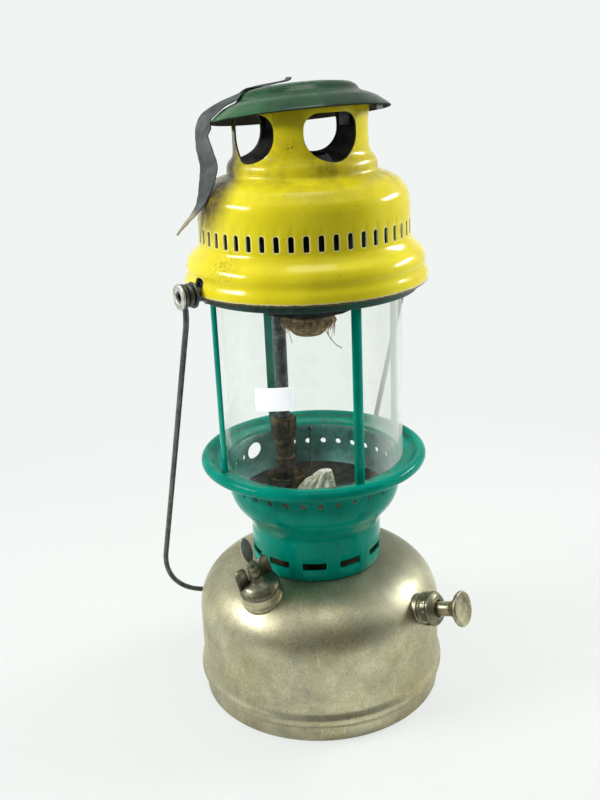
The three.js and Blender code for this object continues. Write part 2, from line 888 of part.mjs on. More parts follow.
function galleryPiece() {
  const cutters = [];
  const h = galleryHoles;
  for (let i = 0; i < h.count; i += 1) {
    const azimuth = h.first + (360 * i) / h.count;
    const near = Math.abs(((azimuth - lightingHole.azimuth + 540) % 360) - 180);
    if (near > 360 / h.count) cutters.push(wallCutter(circle(h.radius, h.sides), azimuth, gallery.bowlRadius, h.height));
  }
  const s = collarSlots;
  for (let i = 0; i < s.count; i += 1) {
    const slot = new THREE.BoxGeometry(s.width, s.height, 2 * overrun);
    const azimuth = s.first + (360 * i) / s.count;
    cutters.push(slot.applyMatrix4(aimed(azimuth, 0, polar(gallery.collarRadius, azimuth, s.centre))));
  }
  const oval = new THREE.Shape();
  oval.absellipse(0, 0, lightingHole.width / 2, lightingHole.height / 2, 0, 2 * Math.PI, false, 0);
  cutters.push(wallCutter(oval, lightingHole.azimuth, gallery.bowlRadius, lightingHole.centre, 12));
  const spindleHole = circle(control.spindleRadius + 2 * fit, facets.tiny);
  cutters.push(wallCutter(spindleHole, control.azimuth, gallery.collarRadius, control.height));
  const body = revolve(sheetOutline(galleryOuter, gallery.wall), galleryHoles.count, h.first - 180 / h.count);
  return piece('gallery', cut(body, cutters), greenEnamel);
}

const pan = { height: 122.6, wall: 1, rim: 2 };
const panTop = pan.height + pan.wall;

function floorPan() {
  const edge = radiusAt(galleryInner, pan.height) - 2 * fit;
  const outline = [
    [0, pan.height],
    [edge - pan.rim, pan.height],
    [edge, pan.height + pan.rim / 2],
    [edge, pan.height + pan.rim / 2 + pan.wall],
    [edge - pan.rim, panTop],
    [0, panTop],
  ];
  const hole = ring(0, feed.stemRadius + fit, pan.height - overrun, panTop + overrun, facets.small)
    .translate(vaporiserPlace.x, vaporiserPlace.y, 0);
  return piece('floor_pan', cut(revolve(outline, facets.cover), [hole]), darkSteel);
}

const cup = { radius: 11.8, height: 8.2, wall: 0.9 };

function spiritCup() {
  const bottom = panTop + fit;
  const inner = feed.stemRadius + fit;
  const outline = [
    [inner, bottom],
    [cup.radius - cup.wall, bottom],
    [cup.radius, bottom + cup.wall],
    [cup.radius, bottom + cup.height],
    [cup.radius - cup.wall, bottom + cup.height],
    [cup.radius - cup.wall, bottom + cup.wall],
    [inner, bottom + cup.wall],
    [inner, bottom],
  ];
  return piece('spirit_cup', revolve(outline, facets.small), agedBrass);
}

const post = { x: -1.6, y: 11, radius: 1.8, height: 38, ball: 2.8 };

function floorPost() {
  const bottom = panTop + fit;
  const top = bottom + post.height;
  const outline = [
    [0, bottom],
    [post.ball, bottom],
    [post.radius, bottom + post.ball],
    [post.radius, top - 2 * post.ball],
    [post.ball, top - post.ball],
    [post.radius, top],
    [0, top],
  ];
  const mesh = piece('floor_post', revolve(outline, facets.tiny), darkSteel);
  mesh.position.set(post.x, post.y, 0);
  return mesh;
}

// The last scrap of the mantle, a crumpled heap of white cloth on the floor of the gallery
const scrap = { x: 4, y: -3, length: 19, width: 13, height: 12, folds: 7, fold: 0.16 };

function mantleScrap() {
  const geometry = new THREE.SphereGeometry(0.5, 21, 7).rotateX(Math.PI / 2);
  const spots = geometry.getAttribute('position');
  const spot = new THREE.Vector3();
  for (let i = 0; i < spots.count; i += 1) {
    spot.fromBufferAttribute(spots, i);
    const around = Math.atan2(spot.y, spot.x);
    const side = Math.hypot(spot.x, spot.y) * 2;
    const pleat = 1 + scrap.fold * side * Math.sin(scrap.folds * around);
    const crown = Math.max(spot.z, -0.25) + 0.25;
    const peak = 1 + 0.25 * Math.sin(2 * around) * side;
    spots.setXYZ(
      i,
      spot.x * pleat * scrap.length,
      spot.y * pleat * scrap.width,
      panTop + fit + (crown * peak * scrap.height) / 0.75,
    );
  }
  const mesh = piece('mantle_scrap', geometry, mantleCloth);
  mesh.position.set(scrap.x, scrap.y, 0);
  return mesh;
}

// Globe and frame
function globePiece() {
  const bottom = ledgeTop + fit;
  const tubePiece = ring(globe.radius - globe.wall, globe.radius, bottom, bottom + globe.height, facets.shell);
  return piece('globe', tubePiece, glass);
}

function frameStrip(index) {
  const half = frame.stripWidth / 2;
  const shape = new THREE.Shape();
  shape.moveTo(-half, 0);
  shape.quadraticCurveTo(-half * 0.9, -frame.stripDepth, 0, -frame.stripDepth);
  shape.quadraticCurveTo(half * 0.9, -frame.stripDepth, half, 0);
  shape.closePath();
  const bottom = heightAt(galleryInner, frame.stripRadius + frame.stripDepth / 2) + fit;
  const body = extrude(shape, plateHeight - fit - bottom, 3);
  const mesh = piece(`frame_strip_${index + 1}`, body, greenEnamel);
  const azimuth = frame.firstStrip + (360 * index) / frame.stripCount;
  mesh.position.copy(polar(frame.stripRadius - frame.stripDepth / 2, azimuth, bottom));
  mesh.rotation.z = radians(azimuth);
  return mesh;
}

const flare = {
  grooveHeight: 7.8,
  grooveRadius: 65.8,
  highBandTop: 12.2,
  highBandRadius: 65.8,
  shoulderHeight: 15.6,
  shoulderRadius: 64.2,
  waistHeight: 19,
  waistRadius: 59.8,
};
const crownShares = [[0.974, 0.4], [0.904, 0.71], [0.809, 0.9]];
const neckRing = { radius: 40.6, bottom: 57.6, top: 63 };

function hoodOutline() {
  const h = hood;
  const crown = crownShares.map(([out, up]) => [h.drumRadius * out, h.drumTop + (neckRing.bottom - h.drumTop) * up]);
  return [
    [h.rimRadius - h.wall / 2, h.rimHeight],
    [h.rimRadius, h.rimHeight + 1.8 * h.wall],
    [flare.grooveRadius, flare.grooveHeight],
    [flare.highBandRadius, flare.highBandTop],
    [flare.shoulderRadius, flare.shoulderHeight],
    [flare.waistRadius, flare.waistHeight],
    [h.drumRadius, h.drumBottom],
    [h.drumRadius, h.drumTop],
    ...crown,
    [neckRing.radius, neckRing.bottom],
    [neckRing.radius, neckRing.top],
    [h.neckRadius, h.neckBottom],
    [h.neckRadius, h.neckTop],
  ];
}

const hoodOuter = hoodOutline();
const hoodInner = leftFace(hoodOuter, hood.wall);
const spigotRadius = frame.ringRadius - frame.ringWall;

function topRing() {
  const f = frame;
  const plateTop = f.ringWall;
  const seat = heightAt(hoodInner, spigotRadius) - 1.5 * fit;
  const inside = spigotRadius - f.ringWall;
  const outline = [
    [spigotRadius, -f.ringDepth],
    [f.ringRadius, -f.ringDepth],
    [f.ringRadius, plateTop],
    [spigotRadius, plateTop + f.ringWall],
    [spigotRadius, seat],
    [inside, seat],
    [inside, plateTop],
    [f.ringHole, plateTop],
    [f.ringHole, 0],
    [spigotRadius, 0],
    [spigotRadius, -f.ringDepth],
  ];
  return piece('top_ring', revolve(outline, facets.shell), greenEnamel);
}

// Bail: a turned lug on each side of the frame, the wire eye, a spacer and an eyelet washer
const lug = {
  baseRadius: 6,
  baseThickness: 1.2,
  studRadius: 4,
  discRadius: 7,
  discThickness: 1.2,
  pinRadius: 2.9,
  pinBore: 2.1,
  boreDepth: 3,
};
const lugFace = bail.eyeOffset - bail.wireRadius - fit;
const spacer = { radius: 6.6, length: 2.4 };
const eyelet = { radius: 7, length: 1.4, edge: 0.4 };
const spacerStart = bail.eyeOffset + bail.wireRadius + fit;
const eyeletStart = spacerStart + spacer.length + fit;

function bailLug(side) {
  const base = frame.ringRadius + fit;
  const pinEnd = eyeletStart + eyelet.length / 2;
  const outline = [
    [0, base],
    [lug.baseRadius, base],
    [lug.baseRadius, base + lug.baseThickness],
    [lug.studRadius, base + lug.baseThickness],
    [lug.studRadius, lugFace - lug.discThickness],
    [lug.discRadius, lugFace - lug.discThickness],
    [lug.discRadius, lugFace],
    [lug.pinRadius, lugFace],
    [lug.pinRadius, pinEnd],
    [lug.pinBore, pinEnd],
    [lug.pinBore, pinEnd - lug.boreDepth],
    [0, pinEnd - lug.boreDepth],
  ];
  return piece(`bail_lug_${side}`, revolve(outline, facets.tiny + 2), darkSteel);
}

function bailSpacer(side) {
  const bore = lug.pinRadius + fit;
  const body = ring(bore, spacer.radius, spacerStart, spacerStart + spacer.length, facets.small);
  return piece(`bail_spacer_${side}`, body, darkSteel);
}

function bailEyelet(side) {
  const bore = lug.pinRadius + fit;
  const end = eyeletStart + eyelet.length;
  const outline = [
    [bore, eyeletStart],
    [eyelet.radius, eyeletStart],
    [eyelet.radius, end - eyelet.edge],
    [eyelet.radius - eyelet.edge, end],
    [bore + eyelet.edge, end],
    [bore, end - eyelet.edge],
    [bore, eyeletStart],
  ];
  return piece(`bail_eyelet_${side}`, revolve(outline, facets.small), zincPlate);
}

function bailMount(side, azimuth) {
  const group = leaning(aimed(azimuth, 0, polar(0, 0, bail.pivotHeight)));
  group.add(bailLug(side), bailSpacer(side), bailEyelet(side));
  return group;
}

// The wire's route from the free end of one eye to the foot of the bail, with X along the pivot and the bail hanging down
function halfBail() {
  const b = bail;
  const points = [];
  const eyeSteps = 8;
  for (let i = 0; i <= eyeSteps; i += 1) {
    const angle = radians(-45 + (255 * i) / eyeSteps);
    points.push([b.eyeOffset, b.eyeRadius * Math.cos(angle), b.eyeRadius * Math.sin(angle)]);
  }
  points.push([b.eyeOffset, -b.eyeRadius * 0.62, -b.eyeRadius * 1.5]);
  points.push([b.eyeOffset, -b.eyeRadius * 0.16, -b.eyeRadius * 2.6]);
  points.push([b.eyeOffset, 0, -b.eyeRadius * 3.8]);
  const bendStart = b.reach - b.cornerRadius;
  points.push([(b.eyeOffset + b.legOffset) / 2, 0, -bendStart * 0.6]);
  const bendSteps = 7;
  for (let i = 0; i <= bendSteps; i += 1) {
    const angle = (Math.PI / 2) * (i / bendSteps);
    const out = b.legOffset - b.cornerRadius * (1 - Math.cos(angle));
    points.push([out, 0, -bendStart - b.cornerRadius * Math.sin(angle)]);
  }
  return points;
}

function bailPiece() {
  const half = halfBail();
  const left = half.map(([x, y, z]) => new THREE.Vector3(x, y, z));
  const right = half.map(([x, y, z]) => new THREE.Vector3(-x, y, z)).reverse();
  const wire = tube([...left, ...right], bail.wireRadius, facets.wire);
  const mesh = piece('bail', wire, darkSteel);
  mesh.rotation.x = -Math.asin((tank.radius + bail.wireRadius + 2 * fit) / bail.reach);
  const group = new THREE.Group();
  group.position.z = bail.pivotHeight;
  group.rotation.z = radians(bail.azimuth - 90);
  group.add(mesh);
  return group;
}

// Burner, carried by a three-armed plate on the top ring
const carrierBottom = frame.ringWall + fit;
const carrier = { thickness: 1.2, arms: 3, armAngle: 26, hubWidth: 4, rimWidth: 5 };
const casing = { wall: 0.8, beadWidth: 3, beadHeight: 1.6, topRadius: 14 };
const burnerPlateSize = { bottom: -15.4, thickness: 1.2 };
const mixer = { radius: 5.6, wall: 0.8, mouth: 6.6, bend: 24.6 };
const holder = { radius: 12.5, height: 3.7 };
const carrierEdge = spigotRadius - frame.ringWall - 2 * fit;

function ringSector(inner, outer, start, sweep) {
  const shape = new THREE.Shape();
  shape.absarc(0, 0, outer, radians(start), radians(start + sweep), false);
  shape.absarc(0, 0, inner, radians(start + sweep), radians(start), true);
  shape.closePath();
  return shape;
}

function burnerCarrier() {
  const c = carrier;
  const top = carrierBottom + c.thickness;
  const hole = burner.casingRadius + fit;
  const plate = ring(hole, carrierEdge, carrierBottom, top, facets.cover);
  const sweep = 360 / c.arms - c.armAngle;
  const cutters = [];
  for (let i = 0; i < c.arms; i += 1) {
    const start = (360 * i) / c.arms + c.armAngle;
    const window = extrude(ringSector(hole + c.hubWidth, carrierEdge - c.rimWidth, start, sweep), 2 * overrun, 4);
    cutters.push(window.translate(0, 0, carrierBottom - overrun));
  }
  return piece('burner_carrier', cut(plate, cutters), darkSteel);
}

function burnerCasing() {
  const r = burner.casingRadius;
  const seat = carrierBottom + carrier.thickness + fit;
  const bend = burner.casingTop - r * 1.15;
  const dip = burner.casingTop - r * 0.4;
  const outline = [
    [r - casing.wall, burner.casingBottom],
    [r, burner.casingBottom],
    [r, seat],
    [r + casing.beadWidth, seat],
    [r + casing.beadWidth, seat + casing.beadHeight / 2],
    [r, seat + casing.beadHeight],
    [r, bend],
    [(r + casing.topRadius) / 2 + casing.wall, dip],
    [casing.topRadius, burner.casingTop],
    [casing.topRadius - casing.wall, burner.casingTop],
    [(r + casing.topRadius) / 2, dip],
    [r - casing.wall, bend],
    [r - casing.wall, burner.casingBottom],
  ];
  return piece('burner_casing', revolve(outline, facets.part), darkSteel);
}

function burnerPlate() {
  const p = burnerPlateSize;
  const plate = ring(0, burner.casingRadius - casing.wall - fit, p.bottom, p.bottom + p.thickness, facets.part);
  const feedHole = ring(0, burner.vaporiserRadius + fit, p.bottom - overrun, p.bottom + overrun, facets.small)
    .translate(vaporiserPlace.x, vaporiserPlace.y, 0);
  const mixerHole = ring(0, mixer.radius + fit, p.bottom - overrun, p.bottom + overrun, facets.small);
  return piece('burner_plate', cut(plate, [feedHole, mixerHole]), darkSteel);
}

// The U-shaped tube that takes gas and air from above the jet to the nozzle, in the plane of the two
function mixerRoute(bottom, mouth) {
  const reach = burner.vaporiserOffset;
  const points = [[reach, mouth], [reach, mixer.bend]];
  for (let i = 1; i < 8; i += 1) {
    const angle = (Math.PI * i) / 8;
    points.push([(reach / 2) * (1 + Math.cos(angle)), mixer.bend + (reach / 2) * Math.sin(angle)]);
  }
  points.push([0, mixer.bend], [0, bottom]);
  const side = polar(1, burner.vaporiserAzimuth, 0);
  return points.map(([out, height]) => new THREE.Vector3(side.x * out, side.y * out, height));
}

function mixingTube() {
  const bottom = burnerPlateSize.bottom - holder.height;
  const outer = tube(mixerRoute(bottom, mixer.mouth), mixer.radius, facets.tiny);
  const bore = tube(mixerRoute(bottom - overrun, mixer.mouth - overrun), mixer.radius - mixer.wall, facets.tiny);
  return piece('mixing_tube', cut(outer, [bore]), darkSteel);
}

function nozzleHolder() {
  const top = burnerPlateSize.bottom - fit;
  const bottom = top - holder.height + fit;
  return piece('nozzle_holder', ring(mixer.radius + fit, holder.radius, bottom, top, facets.small), agedBrass);
}

function ceramicNozzle() {
  const top = burnerPlateSize.bottom - holder.height - fit;
  const bottom = burner.nozzleBottom;
  const r = burner.nozzleRadius;
  const rise = top - bottom;
  const outline = [
    [mixer.radius, bottom],
    [r * 0.55, bottom],
    [r * 0.8, bottom + rise * 0.22],
    [r * 0.96, bottom + rise * 0.5],
    [r, bottom + rise * 0.8],
    [r * 0.94, top],
    [mixer.radius, top],
    [mixer.radius, bottom],
  ];
  return piece('ceramic_nozzle', revolve(outline, facets.part), clay);
}

// Hood
const hoodSlots = { width: 2.5, height: 7.4, centre: 28.2, first: 0.64, endSteps: 2 };
const hoodWindows = { width: 30, bottom: 65, top: 89.2, first: 26.3, corner: 8, belly: 14 };
const notch = { width: 9.4, top: 9 };

function slotShape(width, height, steps) {
  const r = width / 2;
  const straight = height / 2 - r;
  const shape = new THREE.Shape();
  for (let i = 0; i < 2 * (steps + 1); i += 1) {
    const low = i > steps;
    const angle = (Math.PI * (low ? i - 1 : i)) / steps;
    const x = r * Math.cos(angle);
    const y = r * Math.sin(angle) + (low ? -straight : straight);
    if (i === 0) shape.moveTo(x, y);
    else shape.lineTo(x, y);
  }
  shape.closePath();
  return shape;
}

function windowShape() {
  const w = hoodWindows;
  const half = w.width / 2;
  const height = w.top - w.bottom;
  const shape = new THREE.Shape();
  shape.absellipse(0, w.belly, half, w.belly, Math.PI, 2 * Math.PI, false, 0);
  shape.lineTo(half, height - w.corner);
  shape.quadraticCurveTo(half, height, half - w.corner, height);
  shape.lineTo(w.corner - half, height);
  shape.quadraticCurveTo(-half, height, -half, height - w.corner);
  shape.closePath();
  return shape;
}

function capFrame() {
  const lean = new THREE.Euler(radians(cap.frontLean), radians(cap.sideLean), 0);
  return new THREE.Matrix4().makeRotationFromEuler(lean).setPosition(0, 0, cap.height);
}

// The cap's shape as radius and height shares of its rim radius and its rise
const capShares = [
  [1, 0],
  [0.94, 0.16],
  [0.85, 0.36],
  [0.74, 0.52],
  [0.695, 0.56],
  [0.655, 0.72],
  [0.58, 0.87],
  [0.45, 0.95],
  [0, 1],
];

function capOuter() {
  return capShares.map(([out, up]) => [cap.radius * out, cap.rise * up]);
}

// Everything above the underside of the cap, lowered by a gap, which trims what reaches up to it
function capRoom(gap) {
  const under = leftFace(capOuter(), cap.wall + gap).map(([radius, height]) => [Math.max(radius, 0), height]);
  const high = cap.rise + hood.neckTop - cap.height + overrun;
  const outline = [...under, [0, high], [cap.radius + overrun, high], [cap.radius + overrun, under[0][1]], under[0]];
  return revolve(outline, facets.cover).applyMatrix4(capFrame());
}

function hoodPiece() {
  const start = hoodSlots.first - 180 / hood.slotCount;
  const body = revolve(sheetOutline(hoodOuter, hood.wall), hood.slotCount, start);
  const cutters = [capRoom(fit)];
  for (let i = 0; i < hood.slotCount; i += 1) {
    const azimuth = hoodSlots.first + (360 * i) / hood.slotCount;
    const shape = slotShape(hoodSlots.width, hoodSlots.height, hoodSlots.endSteps);
    cutters.push(wallCutter(shape, azimuth, hood.drumRadius, hoodSlots.centre));
  }
  for (let i = 0; i < hood.windowCount; i += 1) {
    const azimuth = hoodWindows.first + (360 * i) / hood.windowCount;
    cutters.push(wallCutter(windowShape(), azimuth, hood.neckRadius, hoodWindows.bottom, 3));
  }
  const depth = notch.top - hood.rimHeight + overrun;
  for (const azimuth of [bail.azimuth, bail.azimuth + 180]) {
    const shape = slotShape(notch.width, 2 * depth, 2 * hoodSlots.endSteps);
    cutters.push(wallCutter(shape, azimuth, hood.rimRadius, notch.top - depth));
  }
  return piece('hood', cut(body, cutters), yellowEnamel);
}

function hoodCap() {
  const under = leftFace(capOuter(), cap.wall).map(([radius, height]) => [Math.max(radius, 0), height]);
  const mesh = piece('hood_cap', revolve([...capOuter(), ...under.reverse(), capOuter()[0]], facets.cover), capEnamel);
  mesh.applyMatrix4(capFrame());
  return mesh;
}

// Straps inside the neck's pillars that hold the cap. Where the leaning cap leaves room, one goes on over the neck's edge.
const bracket = { width: 8, thickness: 1.2, footDrop: 13, armReach: 46, hookDepth: 5, azimuths: [62.3, 134.3, 206.3] };

function capBracket(index) {
  const b = bracket;
  const azimuth = b.azimuths[index];
  const outer = hood.neckRadius - hood.wall - fit;
  const inner = outer - b.thickness;
  const foot = hood.neckTop - b.footDrop;
  const armBottom = hood.neckTop + fit;
  const armTop = armBottom + b.thickness;
  const place = polar(hood.neckRadius, azimuth, 0);
  const room = capSurface(place.x, place.y) - cap.wall - armTop;
  const high = cap.height + cap.rise;
  const leg = [[inner, foot], [outer, foot], [outer, high], [inner, high]];
  const arm = [
    [outer - b.thickness / 2, armBottom],
    [b.armReach - b.thickness, armBottom],
    [b.armReach - b.thickness, armTop - b.hookDepth],
    [b.armReach, armTop - b.hookDepth],
    [b.armReach, armTop],
    [outer - b.thickness / 2, armTop],
  ];
  const pieces = room > b.thickness ? [leg, arm] : [leg];
  const straps = pieces.map((outline) => {
    const shape = new THREE.Shape(outline.map(([radius, height]) => new THREE.Vector2(radius, height)));
    return extrude(shape, b.width).translate(0, 0, -b.width / 2).rotateX(Math.PI / 2);
  });
  const body = (straps.length > 1 ? join(...straps) : straps[0]).rotateZ(radians(azimuth - 90));
  return piece(`cap_bracket_${index + 1}`, cut(body, [capRoom(fit)]), darkSteel);
}

// The strip of cloth tape that lies over the cap and hangs down on the left
const strip = { width: 11, thickness: 0.8, slack: 0.8 };
const stripOver = [
  { x: -6, y: 14, face: -69 },
  { x: -14.5, y: 11.5, face: -69 },
  { x: -24, y: 8, face: -69 },
  { x: -34, y: 4, face: -68 },
  { x: -42, y: 0.5, face: -66 },
];
const stripDown = [
  { x: -50.9, y: -5, z: 86.4, face: -64 },
  { x: -51.4, y: -9.5, z: 79, face: -50 },
  { x: -49.8, y: -13.5, z: 71, face: -40 },
  { x: -49.2, y: -17, z: 64.7, face: -38 },
  { x: -50.6, y: -20.5, z: 58.6, face: -42 },
  { x: -53, y: -23.5, z: 51.4, face: -48 },
  { x: -56.8, y: -24, z: 42.8, face: -55 },
  { x: -62, y: -22, z: 36.3, face: -64 },
  { x: -65, y: -19.5, z: 29.4, face: -72 },
];

// The height of the cap's top above a place on the ground
function capSurface(x, y) {
  const toCap = capFrame().invert();
  const spot = new THREE.Vector3(x, y, cap.height + cap.rise).applyMatrix4(toCap);
  spot.z = heightAt(capOuter(), Math.min(Math.hypot(spot.x, spot.y), cap.radius));
  return spot.applyMatrix4(capFrame()).z;
}

// The strip's middle where it rests on the cap, high enough for both of its edges
function stripOnCap({ x, y, face }) {
  const half = strip.width / 2;
  const edges = [-half, 0, half].map((step) => {
    return capSurface(x + step * Math.cos(radians(face)), y + step * Math.sin(radians(face)));
  });
  return { x, y, z: Math.max(...edges) + strip.thickness / 2 + strip.slack, face };
}

function coverStrip() {
  const route = [...stripOver.map(stripOnCap), ...stripDown];
  const centres = route.map(({ x, y, z }) => new THREE.Vector3(x, y, z));
  const positions = [];
  const index = [];
  route.forEach(({ face }, i) => {
    const across = new THREE.Vector3(Math.cos(radians(face)), Math.sin(radians(face)), 0);
    const along = centres[Math.min(i + 1, centres.length - 1)].clone().sub(centres[Math.max(i - 1, 0)]).normalize();
    const out = new THREE.Vector3().crossVectors(across, along).normalize();
    for (const [side, level] of [[-1, -1], [1, -1], [1, 1], [-1, 1]]) {
      const corner = centres[i].clone()
        .addScaledVector(across, (side * strip.width) / 2)
        .addScaledVector(out, (level * strip.thickness) / 2);
      positions.push(corner.x, corner.y, corner.z);
    }
  });
  const quad = (a, b, c, d) => index.push(a, b, c, a, c, d);
  for (let i = 0; i < centres.length - 1; i += 1) {
    for (let k = 0; k < 4; k += 1) {
      const next = (k + 1) % 4;
      quad(4 * i + k, 4 * i + next, 4 * (i + 1) + next, 4 * (i + 1) + k);
    }
  }
  const end = 4 * (centres.length - 1);
  quad(3, 2, 1, 0);
  quad(end, end + 1, end + 2, end + 3);
  const geometry = new THREE.BufferGeometry();
  geometry.setAttribute('position', new THREE.Float32BufferAttribute(positions, 3));
  geometry.setIndex(index);
  return piece('cover_strip', geometry, tapeCloth);
}

// Assembly
const lantern = new THREE.Group();
lantern.add(tankShell(), tankBase(), fillerGroup(), pumpGroup());
lantern.add(burnerBoss(), pickupTube(), valveBody(), controlGroup(), vaporiserGroup());
lantern.add(galleryPiece(), floorPan(), floorPost(), mantleScrap(), globePiece());
for (let i = 0; i < frame.stripCount; i += 1) lantern.add(frameStrip(i));

const head = new THREE.Group();
head.position.z = plateHeight;
head.add(topRing(), bailMount('left', bail.azimuth), bailMount('right', bail.azimuth + 180), bailPiece());
head.add(burnerCarrier(), burnerCasing(), burnerPlate(), mixingTube(), nozzleHolder(), ceramicNozzle());
head.add(hoodPiece(), hoodCap());
for (let i = 0; i < bracket.azimuths.length; i += 1) head.add(capBracket(i));
head.add(coverStrip());
lantern.add(head);

export default lantern;
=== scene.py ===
# %% [markdown]
# # A paraffin pressure lantern
# The lantern stands on a nickel-plated tank. A green enamelled gallery carries the glass and four flat
# strips, and a yellow enamelled hood with a leaning green cap sits on top. The frame that is loaded first
# holds every part at its real size and place, in metres, so nothing here has to be fitted by eye.

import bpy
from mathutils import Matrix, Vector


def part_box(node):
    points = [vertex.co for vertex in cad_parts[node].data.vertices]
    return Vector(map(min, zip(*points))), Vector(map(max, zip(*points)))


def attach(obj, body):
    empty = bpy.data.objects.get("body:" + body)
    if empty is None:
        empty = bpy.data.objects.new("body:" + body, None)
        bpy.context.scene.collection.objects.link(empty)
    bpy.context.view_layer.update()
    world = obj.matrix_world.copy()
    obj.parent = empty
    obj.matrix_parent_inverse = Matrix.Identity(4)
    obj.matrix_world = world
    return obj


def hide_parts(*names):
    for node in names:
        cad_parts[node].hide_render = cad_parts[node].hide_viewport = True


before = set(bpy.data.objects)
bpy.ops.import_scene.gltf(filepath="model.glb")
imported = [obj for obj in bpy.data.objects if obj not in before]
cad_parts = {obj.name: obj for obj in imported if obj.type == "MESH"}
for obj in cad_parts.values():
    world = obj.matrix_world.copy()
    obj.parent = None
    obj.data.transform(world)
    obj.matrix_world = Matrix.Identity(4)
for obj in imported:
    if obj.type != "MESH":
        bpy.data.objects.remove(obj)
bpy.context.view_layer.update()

import math
import random

import bpy
from mathutils import Matrix, Vector, noise

bpy.ops.object.select_all(action='DESELECT')
print("parts in the frame:", len(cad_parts))

# %% [markdown]
# ## The camera
# The lantern was photographed from half a metre away, from a little above the hood and looking down, so
# the rings open up towards the foot. The camera stands where the rings of the tank, the gallery and the
# hood line up with the picture. It rolls by two and a half degrees because the lantern seems to lean.

# %% Camera
PAN, PITCH, ROLL = math.radians(-0.71), math.radians(19.23), math.radians(-2.52)
CAMERA_PLACE, LENS, SENSOR = (0, -0.5302, 0.3674), 43.19, 36


def camera_axes():
    """Right, up and back, as the camera stands."""
    ahead = Vector((math.sin(PAN) * math.cos(PITCH), math.cos(PAN) * math.cos(PITCH), -math.sin(PITCH)))
    right = ahead.cross(Vector((0, 0, 1))).normalized()
    up = right.cross(ahead)
    rolled_right = math.cos(ROLL) * right + math.sin(ROLL) * up
    rolled_up = math.cos(ROLL) * up - math.sin(ROLL) * right
    return rolled_right, rolled_up, -ahead


bpy.ops.object.camera_add(location=CAMERA_PLACE)
camera = bpy.context.object
camera.name = "camera"
camera.rotation_euler = Matrix(camera_axes()).transposed().to_euler()
camera.data.sensor_width, camera.data.lens = SENSOR, LENS
camera.data.clip_start = 0.01
bpy.context.scene.camera = camera
print("camera at", tuple(round(x, 4) for x in camera.location))

# %% [markdown]
# ## Adding nodes
# Every material here is a small network of nodes. One helper adds a node, sets its options and fills its
# inputs. An input takes a plain value, a socket, or another node, whose first live output is then linked.
# The patterns are laid out in metres, so 1000 divided by a pattern's scale is the size of one patch of it in
# millimetres.

# %% Node and colour helpers
MM = 0.001


def from_hex(text):
    """The linear colour of an sRGB hex value such as 'C8B060'."""
    shares = [int(text[i:i + 2], 16) / 255 for i in (0, 2, 4)]
    return tuple(s / 12.92 if s <= 0.04045 else ((s + 0.055) / 1.055) ** 2.4 for s in shares) + (1,)


def add(kind, inputs, ramp=(), **options):
    """Adds a node to the material in hand. The inputs are named, or listed in the node's own order."""
    node = tree.nodes.new('ShaderNode' + kind)
    for name, value in options.items():
        setattr(node, name, value)
    for key, value in inputs.items() if isinstance(inputs, dict) else enumerate(inputs):
        if isinstance(value, bpy.types.Node):
            value = next(output for output in value.outputs if output.enabled)
        if isinstance(value, bpy.types.NodeSocket):
            tree.links.new(value, node.inputs[key])
        else:
            node.inputs[key].default_value = value
    for i, (place, colour) in enumerate(ramp):
        stop = node.color_ramp.elements[i] if i < 2 else node.color_ramp.elements.new(place)
        stop.position, stop.color = place, from_hex(colour)
    return node


def start_material(name):
    """Takes an empty material in hand. `place` is then the place on a piece, in metres."""
    global tree, place
    material = bpy.data.materials.new(name)
    material.use_nodes = True
    tree = material.node_tree
    tree.nodes.clear()
    place = add('TexCoord', {}).outputs['Object']
    return material


print("helpers ready")

# %% [markdown]
# ## Plated tank
# The tank is brass with a thin coat of nickel that has gone dull. Nickel reflects about two thirds of the
# light and is a little warm. Years of handling left grey-brown stains of a few centimetres, small dark
# specks under a millimetre across, and fine scratches, and each of these blurs the shine.

# %% Tank plate: colour and grain
tank_plate = start_material('tank_plate')
stains = add('TexNoise', {'Vector': place, 'Scale': 38, 'Detail': 7, 'Roughness': 0.62})
clouds = add('TexNoise', {'Vector': place, 'Scale': 140, 'Detail': 5, 'Roughness': 0.6})
plate = add('ValToRGB', {'Fac': stains}, ramp=[(0.3, 'AAA692'), (0.47, 'C0BB9F'), (0.65, 'D2CCAE')])
# Where the nickel has worn thin, patches of 4 cm let the brass glow through
thin = add('TexNoise', {'Vector': place, 'Scale': 24, 'Detail': 5, 'Roughness': 0.7})
thin_share = add('MapRange', [thin, 0.46, 0.72, 0, 0.6])
golden = add('Mix', {0: thin_share, 6: plate, 7: from_hex('B4A572')}, data_type='RGBA')
# Grain of about a millimetre, and streaks that run level
grain = add('TexNoise', {'Vector': place, 'Scale': 1300, 'Detail': 4, 'Roughness': 0.75})
soft_clouds = add('MapRange', [clouds, 0, 1, 0.3, 0.7])
grained = add('Math', [grain, soft_clouds], operation='ADD')
worn = add('MapRange', [grained, 0.88, 1.12, 0.7, 1.05])
plate_colour = add('Mix', {0: 1, 6: golden, 7: worn}, data_type='RGBA', blend_type='MULTIPLY')
print("nodes so far:", len(tree.nodes))

